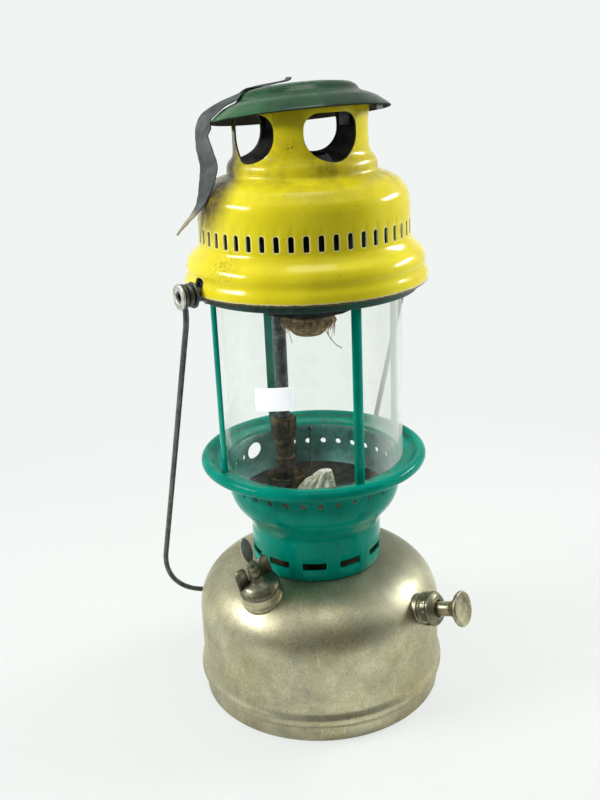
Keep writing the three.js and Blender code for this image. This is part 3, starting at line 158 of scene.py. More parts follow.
# %% Tank plate: specks and streaks
# Cells 2 mm across, and only the middle of some of them is a speck
cells = add('TexVoronoi', {'Vector': place, 'Scale': 480, 'Randomness': 1})
specks = add('MapRange', [cells, 0.1, 0.2, 0.75, 0])
few = add('MapRange', [clouds, 0.5, 0.62, 0, 1])
speck_share = add('Math', [specks, few], operation='MULTIPLY')
speckled = add('Mix', {0: speck_share, 6: plate_colour, 7: from_hex('3E3A2C')}, data_type='RGBA')
shine = add('MapRange', [stains, 0.35, 0.65, 0.5, 0.4])
rough = add('Math', [shine, speck_share], operation='ADD')
streak_place = add('Mapping', {'Vector': place, 'Scale': (90, 90, 1800)})
streaks = add('TexNoise', {'Vector': streak_place, 'Scale': 1, 'Detail': 3})
heights = add('Math', [streaks, grained], operation='ADD')
relief = add('Bump', {'Height': heights, 'Distance': 0.0001, 'Strength': 0.3})
print("nodes so far:", len(tree.nodes))

# %% Tank plate: scratches and the dull side
# Light scratches run aslant, under half a millimetre wide and a few centimetres long
aslant = add('Mapping', {'Vector': place, 'Rotation': (0, 0.9, 0.6), 'Scale': (1300, 1300, 45)})
scratches = add('TexNoise', {'Vector': aslant, 'Scale': 1, 'Detail': 1})
scratch_here = add('MapRange', [thin, 0.52, 0.6, 0, 0.8])
scratch_line = add('MapRange', [scratches, 0.68, 0.73, 0, 1])
scratch_share = add('Math', [scratch_line, scratch_here], operation='MULTIPLY')
scratched = add('Mix', {0: scratch_share, 6: speckled, 7: from_hex('ECE8D4')}, data_type='RGBA')
# The right of the dome, above 62 mm, is painted darker: a painted shade that dims the right lamp's bright reflection
# there
parts = add('SeparateXYZ', {'Vector': place})
painted_shade_up = add('MapRange', [parts.outputs['Z'], 0.062, 0.076, 0, 0.62])
painted_shade_right = add('MapRange', [parts.outputs['X'], 0.005, 0.035, 0.1, 1])
painted_shade_share = add('Math', [painted_shade_up, painted_shade_right], operation='MULTIPLY')
darkened_with_painted_shade = add('Mix', {0: painted_shade_share, 6: scratched, 7: from_hex('5C6050')}, data_type='RGBA')
surface = add('BsdfPrincipled', {'Base Color': darkened_with_painted_shade, 'Metallic': 1, 'Roughness': rough, 'Normal': relief})
add('OutputMaterial', {'Surface': surface})
print("made", tank_plate.name)

# %% One recipe for the plainer finishes
def mottled(name, grain, colours, sockets, bump=None, shine=None):
    """A finish whose colour, relief and gloss follow one noise of (scale, detail, roughness)."""
    material = start_material(name)
    mottle = add('TexNoise', {'Vector': place, **dict(zip(('Scale', 'Detail', 'Roughness'), grain))})
    sockets = {'Base Color': add('ValToRGB', {'Fac': mottle}, ramp=colours), **sockets}
    if shine:
        sockets['Roughness'] = add('MapRange', [mottle, 0.35, 0.65, *shine])
    if bump:
        sockets['Normal'] = add('Bump', {'Height': mottle, 'Distance': bump[0], 'Strength': bump[1]})
    add('OutputMaterial', {'Surface': add('BsdfPrincipled', sockets)})
    print("made", name)
    return material


# %% Grimy plate of the fittings
# Smears 5 mm across, duller where they are dark
grimy_plate = mottled('grimy_plate', (190, 8, 0.68),
                      [(0.32, '4C4A3E'), (0.5, '76745F'), (0.62, '8C8974'), (0.75, 'A8A48C')],
                      {'Metallic': 0.9}, bump=(0.0001, 0.2), shine=(0.5, 0.32))

# %% [markdown]
# ## Enamel
# Enamel is coloured glass fused to steel. It is not metallic, its reflection is that of glass, and it
# stays glossy for a century except where soot and scratches dull it. Along rims and openings it wears
# through to a cream ground coat and to brown rust. The hood has soot on its slopes, more of it near the
# hot neck.

# %% Glaze
def glazed(material, colour, roughness, gloss, ripple):
    """Ends an enamel. Glass has an IOR of 1.5, and grime leaves only part of its gloss."""
    surface = add('BsdfPrincipled',
                  {'Base Color': colour, 'Roughness': roughness, 'IOR': 1.5, 'Specular IOR Level': gloss,
                   'Normal': ripple})
    add('OutputMaterial', {'Surface': surface})
    print("made", material.name)


# %% Yellow enamel: colour, soot and painted shadow
yellow_enamel = start_material('yellow_enamel')
blotches = add('TexNoise', {'Vector': place, 'Scale': 30, 'Detail': 6, 'Roughness': 0.6})
lemon = add('ValToRGB', {'Fac': blotches}, ramp=[(0.3, 'DCC81C'), (0.48, 'E8D824'), (0.7, 'F0E22C')])
split = add('SeparateXYZ', {'Vector': place})
height = split.outputs['Z']
# Soot gathers on the slope below the neck, from 300 mm up, and thins out by 338 mm
sooty_up = add('MapRange', [height, 0.300, 0.316, 0, 1])
sooty_down = add('MapRange', [height, 0.318, 0.338, 1, 0.12])
grime = add('TexNoise', {'Vector': place, 'Scale': 85, 'Detail': 8, 'Roughness': 0.7})
soot = add('MapRange', [grime, 0.44, 0.78, 0, 0.75])
soot_band = add('Math', [sooty_up, sooty_down], operation='MULTIPLY')
soot_share = add('Math', [soot_band, soot], operation='MULTIPLY')
# The left side is painted darker outside x = -36 mm on the crown, 310 mm up, and further out lower down: a painted
# shadow of the tape and painted shade on the left, partly soot
SHADOW_AND_STAIN_SLOPE, CROWN_HEIGHT = 0.48, 310 * MM
higher = add('Math', [height, -SHADOW_AND_STAIN_SLOPE, SHADOW_AND_STAIN_SLOPE * CROWN_HEIGHT], operation='MULTIPLY_ADD')
left_slope = add('Math', [split.outputs['X'], higher], operation='ADD')
painted_left_shading = add('MapRange', [left_slope, -0.031, -0.040, 0, 1])
left_up = add('MapRange', [height, 0.276, 0.298, 0, 1])
left_painted_shadow_and_soot = add('Math', [painted_left_shading, left_up], operation='MULTIPLY')
left_shadow_mottle = add('MapRange', [grime, 0.36, 0.56, 0.7, 1])
left_painted_shadow_mottled = add('Math', [left_painted_shadow_and_soot, left_shadow_mottle], operation='MULTIPLY')
soot_and_painted_shadow = add('Math', [soot_share, left_painted_shadow_mottled], operation='MAXIMUM')
darkened_with_painted_shade = add('Mix', {0: soot_and_painted_shadow, 6: lemon, 7: from_hex('564820')}, data_type='RGBA')
print("nodes so far:", len(tree.nodes))

# %% Yellow enamel: specks and burnt patches
ragged = add('TexNoise', {'Vector': place, 'Scale': 420, 'Detail': 4})
# Specks under a millimetre in cells of 3 mm, where the glaze crawled in the kiln
dots = add('TexVoronoi', {'Vector': place, 'Scale': 330, 'Randomness': 1})
dot_share = add('MapRange', [dots, 0.07, 0.12, 0.7, 0])
dotted_here = add('MapRange', [grime, 0.5, 0.58, 0, 1])
dot_mask = add('Math', [dot_share, dotted_here], operation='MULTIPLY')
# A burnt patch 10 mm across sits between two windows, and a rusty one 34 mm across on the flare
fleck = add('TexNoise', {'Vector': place, 'Scale': 700, 'Detail': 5, 'Roughness': 0.8})
flecked = add('MapRange', [fleck, 0.52, 0.6, 0, 0.7])
for centre, across, strength in (((-0.0056, -0.0363, 0.329), 0.005, 1.6), ((-0.046, -0.048, 0.2735), 0.017, 1.35)):
    away = add('VectorMath', [place, centre], operation='DISTANCE').outputs['Value']
    inside = add('MapRange', [away, 0, across, strength, 0])
    patch = add('Math', [inside, flecked], operation='MULTIPLY', use_clamp=True)
    dot_mask = add('Math', [dot_mask, patch], operation='MAXIMUM')
dotted = add('Mix', {0: dot_mask, 6: darkened_with_painted_shade, 7: from_hex('5A4A18')}, data_type='RGBA')
print("nodes so far:", len(tree.nodes))

# %% Yellow enamel: worn rim and slots
# The rim, below 255 mm, is worn to a brown line with a cream one above it
rim_place = add('Math', [ragged, 0.0012], operation='MULTIPLY')
rim_height = add('Math', [height, rim_place], operation='SUBTRACT')
rim_share = add('MapRange', [rim_height, 0.2550, 0.2553, 0.95, 0])
rim_level = add('MapRange', [rim_height, 0.2533, 0.2553, 0, 1])
rim_colour = add('ValToRGB', {'Fac': rim_level}, ramp=[(0.5, '33261A'), (0.62, '5A4630'), (0.7, 'E2D8A4')])
rimmed = add('Mix', {0: rim_share, 6: dotted, 7: rim_colour}, data_type='RGBA')
# Round each slot the yellow is worn to the cream ground coat, 0.7 mm wide. The slots are 2.9 mm wide with
# round ends, 5.3 mm between the ends' middles, and 7.6 mm of the drum apart
SLOTS, SLOT_PITCH, SLOT_TURN, SLOT_HEIGHT = 48, 7.5, 0.64, 283.6
ahead = add('Math', [split.outputs['Y'], -1], operation='MULTIPLY')
azimuth = add('Math', [split.outputs['X'], ahead], operation='ARCTAN2')
turns = add('Math', [azimuth, SLOTS / math.tau, 0.5 - SLOT_TURN / SLOT_PITCH], operation='MULTIPLY_ADD')
within = add('Math', [turns], operation='FRACT')
across = add('Math', [within, 0.0076, -0.0038], operation='MULTIPLY_ADD')
from_middle = add('Math', [height, SLOT_HEIGHT * MM], operation='SUBTRACT')
upwards = add('Math', [from_middle], operation='ABSOLUTE')
past_end = add('Math', [upwards, 0.00265], operation='SUBTRACT', use_clamp=True)
offset = add('CombineXYZ', {'X': across, 'Y': past_end})
from_slot = add('VectorMath', [offset], operation='LENGTH').outputs['Value']
uneven = add('Math', [ragged, 0.0008, from_slot], operation='MULTIPLY_ADD')
slot_rim = add('MapRange', [uneven, 0.0023, 0.0026, 0.8, 0])
chipped = add('Mix', {0: slot_rim, 6: rimmed, 7: from_hex('F8F2A0')}, data_type='RGBA')
roughness = add('MapRange', [soot_share, 0, 0.5, 0.16, 0.5])
ripple = add('Bump', {'Height': blotches, 'Distance': 0.0006, 'Strength': 0.25})
glazed(yellow_enamel, chipped, roughness, 0.3, ripple)

# %% Soot inside the hood and char under the cap
# Crusts 8 and 7 mm across
sooty_inside = mottled('sooty_inside', (120, 8, 0.65), [(0.3, '2A282A'), (0.5, '484548'), (0.72, '6A645E')],
                       {'Roughness': 0.7}, bump=(0.0003, 0.5))
charred_inside = mottled('charred_inside', (150, 8, 0.65), [(0.32, '121112'), (0.5, '222022'), (0.7, '343034')],
                         {'Roughness': 0.85, 'Specular IOR Level': 0.2})

# %% Chipped edge round the openings
chipped_edge = start_material('chipped_edge')
ragged = add('TexNoise', {'Vector': place, 'Scale': 300, 'Detail': 6, 'Roughness': 0.7})
colour = add('ValToRGB', {'Fac': ragged},
             ramp=[(0.3, '6A5430'), (0.4, 'E8DE98'), (0.6, 'F6EFB0'), (0.74, 'EEE052')])
# The windows of the neck, above 302 mm, have edges browned by the heat
height = add('SeparateXYZ', {'Vector': place}).outputs['Z']
browned = add('MapRange', [height, 0.3, 0.304, 0, 0.7])
edge = add('Mix', {0: browned, 6: colour, 7: from_hex('4A3F26')}, data_type='RGBA')
surface = add('BsdfPrincipled', {'Base Color': edge, 'Roughness': 0.5})
add('OutputMaterial', {'Surface': surface})
print("made", chipped_edge.name)

# %% Green enamel
green_enamel = start_material('green_enamel')
blotches = add('TexNoise', {'Vector': place, 'Scale': 34, 'Detail': 6, 'Roughness': 0.6})
teal = add('ValToRGB', {'Fac': blotches}, ramp=[(0.32, '007664'), (0.5, '008A76'), (0.7, '009C86')])
grime = add('TexNoise', {'Vector': place, 'Scale': 110, 'Detail': 8, 'Roughness': 0.7})
# Brown dirt lies on the flange, above 148 mm, close to the glass and along the roll
height = add('SeparateXYZ', {'Vector': place}).outputs['Z']
flat_place = add('VectorMath', [place, (1, 1, 0)], operation='MULTIPLY')
radius = add('VectorMath', [flat_place], operation='LENGTH').outputs['Value']
crease_up = add('MapRange', [height, 0.1480, 0.1486, 0, 1])
by_glass = add('MapRange', [radius, 0.0545, 0.0565, 1, 0])
by_roll = add('Math', [radius, 0.0598, 0.0009], operation='COMPARE')
near_crease = add('Math', [by_glass, by_roll], operation='MAXIMUM')
crease = add('Math', [crease_up, near_crease], operation='MULTIPLY')
dirt_here = add('MapRange', [grime, 0.42, 0.7, 0, 0.8])
dirt = add('Math', [crease, dirt_here], operation='MULTIPLY')
dirty = add('Mix', {0: dirt, 6: teal, 7: from_hex('4A3A26')}, data_type='RGBA')
roughness = add('MapRange', [grime, 0.4, 0.75, 0.1, 0.22])
ripple = add('Bump', {'Height': blotches, 'Distance': 0.0006, 'Strength': 0.3})
glazed(green_enamel, dirty, roughness, 0.07, ripple)

# %% Painted-shade enamel of the ring, and dirty enamel inside the gallery
# Painted shade in patches of 11 mm on the ring, a darker copy of the green for where it lies under the hood's rim, and
# a film in patches of 17 mm inside the gallery
shaded_ring_green = mottled('shaded_ring_green', (90, 7, 0.68), [(0.34, '1A2A24'), (0.5, '124A3E'), (0.68, '0A5E50')],
                       {'Roughness': 0.45})
gallery_inside = mottled('gallery_inside', (60, 8, 0.68), [(0.3, '2E4A45'), (0.48, '447A73'), (0.66, '60A497')],
                         {'Roughness': 0.5})

# %% Cap enamel, darker and hazed by heat
cap_enamel = start_material('cap_enamel')
blotches = add('TexNoise', {'Vector': place, 'Scale': 40, 'Detail': 6, 'Roughness': 0.6})
sideways = add('SeparateXYZ', {'Vector': place}).outputs['X']
# The cap is painted lighter towards the left and darker towards the right, a painted shading across it
painted_left_shading = add('MapRange', [sideways, -0.046, 0.03, 0.2, -0.1])
shade = add('Math', [blotches, painted_left_shading], operation='ADD')
green = add('ValToRGB', {'Fac': shade}, ramp=[(0.3, '0E2A18'), (0.5, '143C22'), (0.68, '245A32')])
haze = add('TexNoise', {'Vector': place, 'Scale': 150, 'Detail': 7, 'Roughness': 0.7})
roughness = add('MapRange', [haze, 0.38, 0.7, 0.18, 0.34])
ripple = add('Bump', {'Height': blotches, 'Distance': 0.0006, 'Strength': 0.3})
glazed(cap_enamel, green, roughness, 0.3, ripple)

# %% [markdown]
# ## Bare metals
# Aged brass goes brown and loses its shine, but a thumb keeps the knob's face bright. Steel wire and lugs
# are dark grey with a trace of rust. Zinc stays pale grey with a soft mottle.

# %% Brass, dark steel and zinc
# Patina in patches of 8 mm on the brass and 6 mm on the steel, and a mottle of 3 mm on the zinc
aged_brass = mottled('aged_brass', (130, 7, 0.65), [(0.32, '6A6352'), (0.48, '9A9378'), (0.62, 'BDB48E')],
                     {'Metallic': 0.9}, bump=(0.00015, 0.4), shine=(0.5, 0.26))
dark_steel = mottled('dark_steel', (170, 7, 0.65), [(0.3, '4C4A44'), (0.46, '5A5E5C'), (0.65, '6A706E')],
                     {'Metallic': 0.75}, bump=(0.00012, 0.45), shine=(0.55, 0.34))
zinc_plate = mottled('zinc_plate', (320, 5, 0.6), [(0.36, '9C9C94'), (0.6, 'D6D6CC')],
                     {'Metallic': 0.6, 'Roughness': 0.42}, bump=(0.0001, 0.4))

# %% Brass browned by heat, blued steel and the scorched floor
# Heat colours in patches of 6 mm, each a little raised
HEAT_GRAIN, HEAT_RELIEF = (180, 8, 0.7), (0.0002, 0.5)
browned_brass = mottled('browned_brass', HEAT_GRAIN,
                        [(0.36, '241A12'), (0.5, '4A3822'), (0.62, '77603A'), (0.72, '9C8448')],
                        {'Metallic': 0.7, 'Roughness': 0.5}, bump=HEAT_RELIEF)
blued_tube = mottled('blued_tube', HEAT_GRAIN,
                     [(0.34, '2E3438'), (0.5, '4C5358'), (0.62, '6C7072'), (0.72, 'ACA99C')],
                     {'Metallic': 0.6, 'Roughness': 0.5}, bump=HEAT_RELIEF)
scorched_floor = mottled('scorched_floor', HEAT_GRAIN, [(0.34, '1C1A16'), (0.5, '363128'), (0.68, '5A5040')],
                         {'Metallic': 0.2, 'Roughness': 0.5}, bump=HEAT_RELIEF)

# %% [markdown]
# ## Glass, clay, cloth and the rest
# The glass is borosilicate, with a refraction of 1.47 and a faint film of dust that only shows at its
# edges. Fired clay is chalky and a little grey from soot. The mantle is ash: white, weightless and
# matt. The tape over the cap is tarred cloth with a thread every three quarters of a millimetre.

# %% Globe glass
globe_glass = start_material('globe_glass')
waves = add('TexNoise', {'Vector': place, 'Scale': 22, 'Detail': 3})
relief = add('Bump', {'Height': waves, 'Distance': 0.0004, 'Strength': 0.12})
# The wall is thin and even, so it hardly bends what is behind it. Glass of 1.47 mirrors a few percent of the
# light that meets it squarely, shared here between its two faces, and most of it at a glancing angle
slant = add('LayerWeight', {'Blend': 0.5}).outputs['Facing']
steep = add('Math', [slant, 5], operation='POWER')
mirrored = add('MapRange', [steep, 0, 1, 0.008, 0.6])
straight = add('BsdfTransparent', {'Color': from_hex('FEFFFE')})
mirror = add('BsdfGlossy', {'Color': from_hex('FFFFFF'), 'Roughness': 0.02, 'Normal': relief})
clear = add('MixShader', [mirrored, straight, mirror])
film = add('TexNoise', {'Vector': place, 'Scale': 90, 'Detail': 8, 'Roughness': 0.7})
dust = add('BsdfDiffuse', {'Color': from_hex('E4E8E2'), 'Roughness': 1})
dust_share = add('MapRange', [film, 0.42, 0.8, 0.002, 0.04])
through = add('BsdfTransparent', {'Color': from_hex('FAFCFB')})
# The right of the glass, beyond x = 30 mm, is given a pale glow of its own: painted light for a white haze there
sideways = add('SeparateXYZ', {'Vector': place}).outputs['X']
painted_glow_share = add('MapRange', [sideways, 0.030, 0.044, 0, 0.2])
painted_glow = add('Emission', {'Color': from_hex('E6EAE4'), 'Strength': 0.92})
dusty = add('MixShader', [dust_share, clear, dust])
hazed_with_painted_glow = add('MixShader', [painted_glow_share, dusty, painted_glow])
ray = add('LightPath', {})
shadow = add('MixShader', [ray.outputs['Is Shadow Ray'], hazed_with_painted_glow, through])
add('OutputMaterial', {'Surface': shadow})
print("made", globe_glass.name)

# %% Fired clay
# Grit and soot in patches of 4 mm
fired_clay = mottled('fired_clay', (260, 6, 0.7), [(0.34, '5A4634'), (0.5, '927A5A'), (0.66, 'BCA47E')],
                     {'Roughness': 0.9}, bump=(0.0003, 0.5))

# %% Mantle cloth
mantle_cloth = start_material('mantle_cloth')
# Ribs of the knitted mantle, 2.9 mm apart. A wave repeats every 314 mm divided by its scale
knit_a = add('TexWave', {'Vector': place, 'Scale': 110, 'Distortion': 3, 'Detail Scale': 2})
knit_b = add('TexWave', {'Vector': place, 'Scale': 110, 'Distortion': 3, 'Detail Scale': 2},
             bands_direction='Z')
knit = add('Math', [knit_a, knit_b], operation='MULTIPLY')
ash = add('TexNoise', {'Vector': place, 'Scale': 240, 'Detail': 6})
colour = add('ValToRGB', {'Fac': ash}, ramp=[(0.34, 'DCD4BC'), (0.56, 'FFFAE8')])
relief = add('Bump', {'Height': knit, 'Distance': 0.0004, 'Strength': 0.7})
surface = add('BsdfPrincipled', {'Base Color': colour, 'Roughness': 1, 'Sheen Weight': 0.3, 'Normal': relief})
add('OutputMaterial', {'Surface': surface})
print("made", mantle_cloth.name)

# %% Tape cloth
tape_cloth = start_material('tape_cloth')
weave_a = add('TexWave', {'Vector': place, 'Scale': 420, 'Distortion': 0.6}, bands_direction='X')
weave_b = add('TexWave', {'Vector': place, 'Scale': 420, 'Distortion': 0.6}, bands_direction='Z')
weave = add('Math', [weave_a, weave_b], operation='ADD')
fade = add('TexNoise', {'Vector': place, 'Scale': 90, 'Detail': 7, 'Roughness': 0.65})
tar = add('ValToRGB', {'Fac': fade}, ramp=[(0.34, '2E3233'), (0.5, '414648'), (0.68, '5A6062')])
# The hanging end, below 297 mm, has lost its tar and shows beige thread
height = add('SeparateXYZ', {'Vector': place}).outputs['Z']
bare = add('MapRange', [height, 0.2985, 0.295, 0, 0.8])
colour = add('Mix', {0: bare, 6: tar, 7: from_hex('A89C82')}, data_type='RGBA')
relief = add('Bump', {'Height': weave, 'Distance': 0.0001, 'Strength': 0.35})
surface = add('BsdfPrincipled', {'Base Color': colour, 'Roughness': 0.75, 'Normal': relief})
add('OutputMaterial', {'Surface': surface})
print("made", tape_cloth.name)

# %% Black plastic, thread and paper
# Scuffs of 5 mm, burns of 2.5 mm and fibres of 2 mm. The paper has a faint painted glow, painted light that keeps it
# bright on its shaded front
black_plastic = mottled('black_plastic', (200, 6, 0.7), [(0.4, '141312'), (0.7, '34302C')], {'Roughness': 0.4})
scorched_thread = mottled('scorched_thread', (400, 5, 0.7),
                          [(0.34, '5A4228'), (0.48, 'A0825A'), (0.64, 'D8BE94')],
                          {'Roughness': 0.95, 'Sheen Weight': 0.2})
label_paper_painted_glow = mottled('label_paper_painted_glow', (500, 6, 0.7), [(0.35, 'DCDEDC'), (0.6, 'F2F4F4')],
                      {'Roughness': 0.8, 'Emission Color': from_hex('F0F4FF'), 'Emission Strength': 0.34})

# %% Leather
leather = start_material('leather')
# Pores 0.7 mm apart
grain = add('TexVoronoi', {'Vector': place, 'Scale': 1500})
colour = add('ValToRGB', {'Fac': grain}, ramp=[(0.1, '3C2A1C'), (0.7, '6A4A30')])
surface = add('BsdfPrincipled', {'Base Color': colour, 'Roughness': 0.7})
add('OutputMaterial', {'Surface': surface})
print("made", leather.name)

# %% [markdown]
# ## Shaping
# Nearly everything on a lantern is spun on a lathe, so the main tool is an outline of (radius, height)
# in millimetres that is swept round the upright axis. A sheet-metal piece is an open outline that is
# thickened afterwards. Holes are cut with prisms, and a small bevel rounds every sharp edge.

# %% Drawing
def pick(piece):
    """Makes a piece the only one that the operators act on."""
    bpy.ops.object.select_all(action='DESELECT')
    piece.select_set(True)
    bpy.context.view_layer.objects.active = piece


def draw_wire(name, points):
    """A chain of edges through points in millimetres, drawn one step after another."""
    bpy.ops.mesh.primitive_plane_add(size=0.002)
    piece = bpy.context.object
    piece.name = name
    bpy.ops.object.mode_set(mode='EDIT')
    bpy.ops.mesh.merge(type='CENTER')
    bpy.ops.transform.translate(value=Vector(points[0]) * MM)
    for before, after in zip(points, points[1:]):
        step = (Vector(after) - Vector(before)) * MM
        bpy.ops.mesh.extrude_region_move(TRANSFORM_OT_translate={'value': step})
    bpy.ops.object.mode_set(mode='OBJECT')
    return piece


def arc(centre, radii, angles):
    """Points round a centre at angles in degrees, counted from the right and upwards."""
    turns = [math.radians(a) for a in angles]
    return [(centre[0] + radii[0] * math.cos(a), centre[1] + radii[1] * math.sin(a)) for a in turns]


def round_wire(name, points, radius, resolution):
    """A round wire along a chain of points, all in millimetres."""
    pick(draw_wire(name, points))
    bpy.ops.object.convert(target='CURVE')
    wire = bpy.context.object
    wire.data.bevel_depth, wire.data.bevel_resolution, wire.data.use_fill_caps = radius * MM, resolution, True
    bpy.ops.object.convert(target='MESH')
    return bpy.context.object


def rounded(points, radius, steps=4, closed=False):
    """The same outline with each corner swept round."""
    ring = [Vector(p) for p in points]
    if closed:
        ring = [(ring[0] + ring[1]) / 2] + ring[1:] + [ring[0], (ring[0] + ring[1]) / 2]
    result = [ring[0]]
    for before, corner, after in zip(ring, ring[1:], ring[2:]):
        back, on = before - corner, after - corner
        # A corner takes up less than half of the side before and after it
        start = corner + back.normalized() * min(radius, back.length * 0.45)
        end = corner + on.normalized() * min(radius, on.length * 0.45)
        for i in range(steps + 1):
            t = i / steps
            result.append((1 - t) ** 2 * start + 2 * t * (1 - t) * corner + t * t * end)
    return result + [ring[-1]]


print("drawing tools ready")

# %% Edges and walls
# Points closer than four thousandths of a millimetre are one point
DOUBLED = 0.004 * MM


def edit_all():
    """Opens the piece in hand for editing with all of it selected."""
    bpy.ops.object.mode_set(mode='EDIT')
    bpy.ops.mesh.select_all(action='SELECT')


def merge_and_turn_out(piece):
    """Joins doubled points and makes every face look outwards."""
    pick(piece)
    edit_all()
    bpy.ops.mesh.remove_doubles(threshold=DOUBLED)
    bpy.ops.mesh.normals_make_consistent(inside=False)
    bpy.ops.object.mode_set(mode='OBJECT')


def soften(piece, edge, angle=35, material=-1):
    """Rounds the edges that are sharper than the angle, and shades the rest smooth."""
    pick(piece)
    if edge:
        bevel = piece.modifiers.new("edges", 'BEVEL')
        bevel.width, bevel.segments, bevel.material = edge * MM, 2, material
        bevel.limit_method, bevel.angle_limit = 'ANGLE', math.radians(angle)
        bpy.ops.object.modifier_apply(modifier=bevel.name)
    bpy.ops.object.shade_smooth_by_angle(angle=math.radians(angle))


def thicken(piece, wall, inside=0, rim=0, even=True):
    """Gives a sheet its wall, inwards, with a material of their own for the inside and the rim."""
    pick(piece)
    solid = piece.modifiers.new("wall", 'SOLIDIFY')
    solid.thickness, solid.offset, solid.use_even_offset = wall * MM, -1, even
    solid.material_offset, solid.material_offset_rim = inside, rim
    bpy.ops.object.modifier_apply(modifier=solid.name)


print("edge tools ready")


# %% Spun and pressed bodies
def turned(name, outline, steps=112, start=0, sweep=360):
    """A body spun round the upright axis from an outline of (radius, height) in millimetres."""
    piece = draw_wire(name, [(r, 0, z) for r, z in outline])
    edit_all()
    bpy.ops.mesh.spin(steps=steps, angle=math.radians(sweep), center=(0, 0, 0), axis=(0, 0, 1))
    bpy.ops.object.mode_set(mode='OBJECT')
    if start:
        settle(piece, Matrix.Rotation(math.radians(start), 4, 'Z'))
    merge_and_turn_out(piece)
    # A sheet has no inside of its own, so the side that looks away from the axis is made its outside
    if sum(f.area * (f.normal.x * f.center.x + f.normal.y * f.center.y) for f in piece.data.polygons) < 0:
        bpy.ops.object.mode_set(mode='EDIT')
        bpy.ops.mesh.flip_normals()
        bpy.ops.object.mode_set(mode='OBJECT')
    return piece


def prism(name, outline, depth):
    """A plate from a flat outline of (across, up), lying from the front, at -Y, to the back."""
    points = [(p[0], -depth / 2, p[1]) for p in [*outline, outline[0]]]
    piece = draw_wire(name, points)
    edit_all()
    bpy.ops.mesh.remove_doubles(threshold=DOUBLED)
    bpy.ops.mesh.edge_face_add()
    bpy.ops.mesh.extrude_region_move(TRANSFORM_OT_translate={'value': (0, depth * MM, 0)})
    bpy.ops.object.mode_set(mode='OBJECT')
    merge_and_turn_out(piece)
    return piece


def cylinder(radius, depth, vertices, matrix):
    """A cylinder, in millimetres, put in its place."""
    bpy.ops.mesh.primitive_cylinder_add(vertices=vertices, radius=radius * MM, depth=depth * MM)
    piece = bpy.context.object
    settle(piece, matrix)
    return piece


print("body tools ready")


# %% Places
def settle(piece, matrix):
    """Moves a finished piece into place and keeps its own origin at the frame's."""
    piece.matrix_world = matrix
    pick(piece)
    bpy.ops.object.transform_apply(location=True, rotation=True, scale=True)


def around(azimuth, radius=0, height=0):
    """The place on a ring whose own front faces outwards. Azimuth 0 faces the camera."""
    return Matrix.Rotation(math.radians(azimuth), 4, 'Z') @ Matrix.Translation((0, -radius * MM, height * MM))


def aimed(azimuth, elevation, place):
    """A frame whose Z runs along a direction, with X level, at a place in millimetres."""
    a, e = math.radians(azimuth), math.radians(elevation)
    ahead = Vector((math.sin(a) * math.cos(e), -math.cos(a) * math.cos(e), math.sin(e)))
    level = Vector((math.cos(a), math.sin(a), 0))
    turn = Matrix((level, ahead.cross(level), ahead)).transposed().to_4x4()
    return Matrix.Translation(Vector(place) * MM) @ turn


print("place tools ready")


# %% Joining, cutting and finishing
def joined(name, pieces):
    """One object from several."""
    bpy.ops.object.select_all(action='DESELECT')
    for piece in pieces:
        piece.select_set(True)
    bpy.context.view_layer.objects.active = pieces[0]
    if len(pieces) > 1:
        bpy.ops.object.join()
    pieces[0].name = name
    return pieces[0]


def repeated(stamp, matrices):
    """One object made of copies of a stamp, each put in its own place."""
    copies = []
    for matrix in matrices:
        one = stamp.copy()
        one.data = stamp.data.copy()
        bpy.context.collection.objects.link(one)
        settle(one, matrix)
        copies.append(one)
    bpy.data.objects.remove(stamp)
    return joined("cutters", copies)


def cut_away(piece, cutters, solver='MANIFOLD'):
    """Cuts holes, whose walls keep the cutters' material."""
    pick(piece)
    boolean = piece.modifiers.new("holes", 'BOOLEAN')
    boolean.operation, boolean.solver, boolean.object = 'DIFFERENCE', solver, cutters
    if solver == 'EXACT':
        boolean.material_mode = 'TRANSFER'
    before = len(piece.data.polygons)
    bpy.ops.object.modifier_apply(modifier=boolean.name)
    bpy.data.objects.remove(cutters)
    print(piece.name, "faces before and after the holes:", before, len(piece.data.polygons))


def paint(piece, *materials):
    """Gives a piece its materials, in the order of its material numbers."""
    piece.data.materials.clear()
    for material in materials:
        piece.data.materials.append(material)


def belongs(piece, body, slot, *nodes):
    """The body that a piece moves with and the parts it stands for. The slot, its finish, is not used."""
    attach(piece, body)
    if nodes:
        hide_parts(*nodes)
    print("finished", piece.name, "on", body)


def complete(piece, edge, material, body, slot, *nodes, angle=35):
    """Rounds and paints a piece, and says what it moves with and stands for."""
    soften(piece, edge, angle)
    paint(piece, material)
    belongs(piece, body, slot, *nodes)


def polished(node, body, slot, material, edge=0.25):
    """A copy of a part of the frame with its facets joined and its edges rounded."""
    piece = bpy.data.objects.new("fine_" + node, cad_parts[node].data.copy())
    bpy.context.collection.objects.link(piece)
    merge_and_turn_out(piece)
    bpy.ops.object.mode_set(mode='EDIT')
    bpy.ops.mesh.dissolve_limited(angle_limit=math.radians(1))
    bpy.ops.object.mode_set(mode='OBJECT')
    complete(piece, edge, material, body, slot, node, angle=38)


print("finishing tools ready")

# %% [markdown]
# ## The tank
# The shell is drawn from its foot over the rolled bead and up into a dome that is a little squarer than a
# circle. Two holes are cut in it, one for the filler's neck and one for the pump.

# %% Tank shell
TANK = {'wall': 73.9, 'shoulder': 51, 'rise': 34, 'crown': 24, 'throat': 11}


def dome_outline(steps=22, power=2.2):
    """The dome from shoulder to crown. A power of 2 would make it a quarter of an ellipse."""
    reach = TANK['wall'] - TANK['crown']
    points = []
    for i in range(steps + 1):
        angle = math.pi / 2 * i / steps
        out, up = math.cos(angle) ** (2 / power), math.sin(angle) ** (2 / power)
        points.append((TANK['crown'] + reach * out, TANK['shoulder'] + TANK['rise'] * up))
    return points


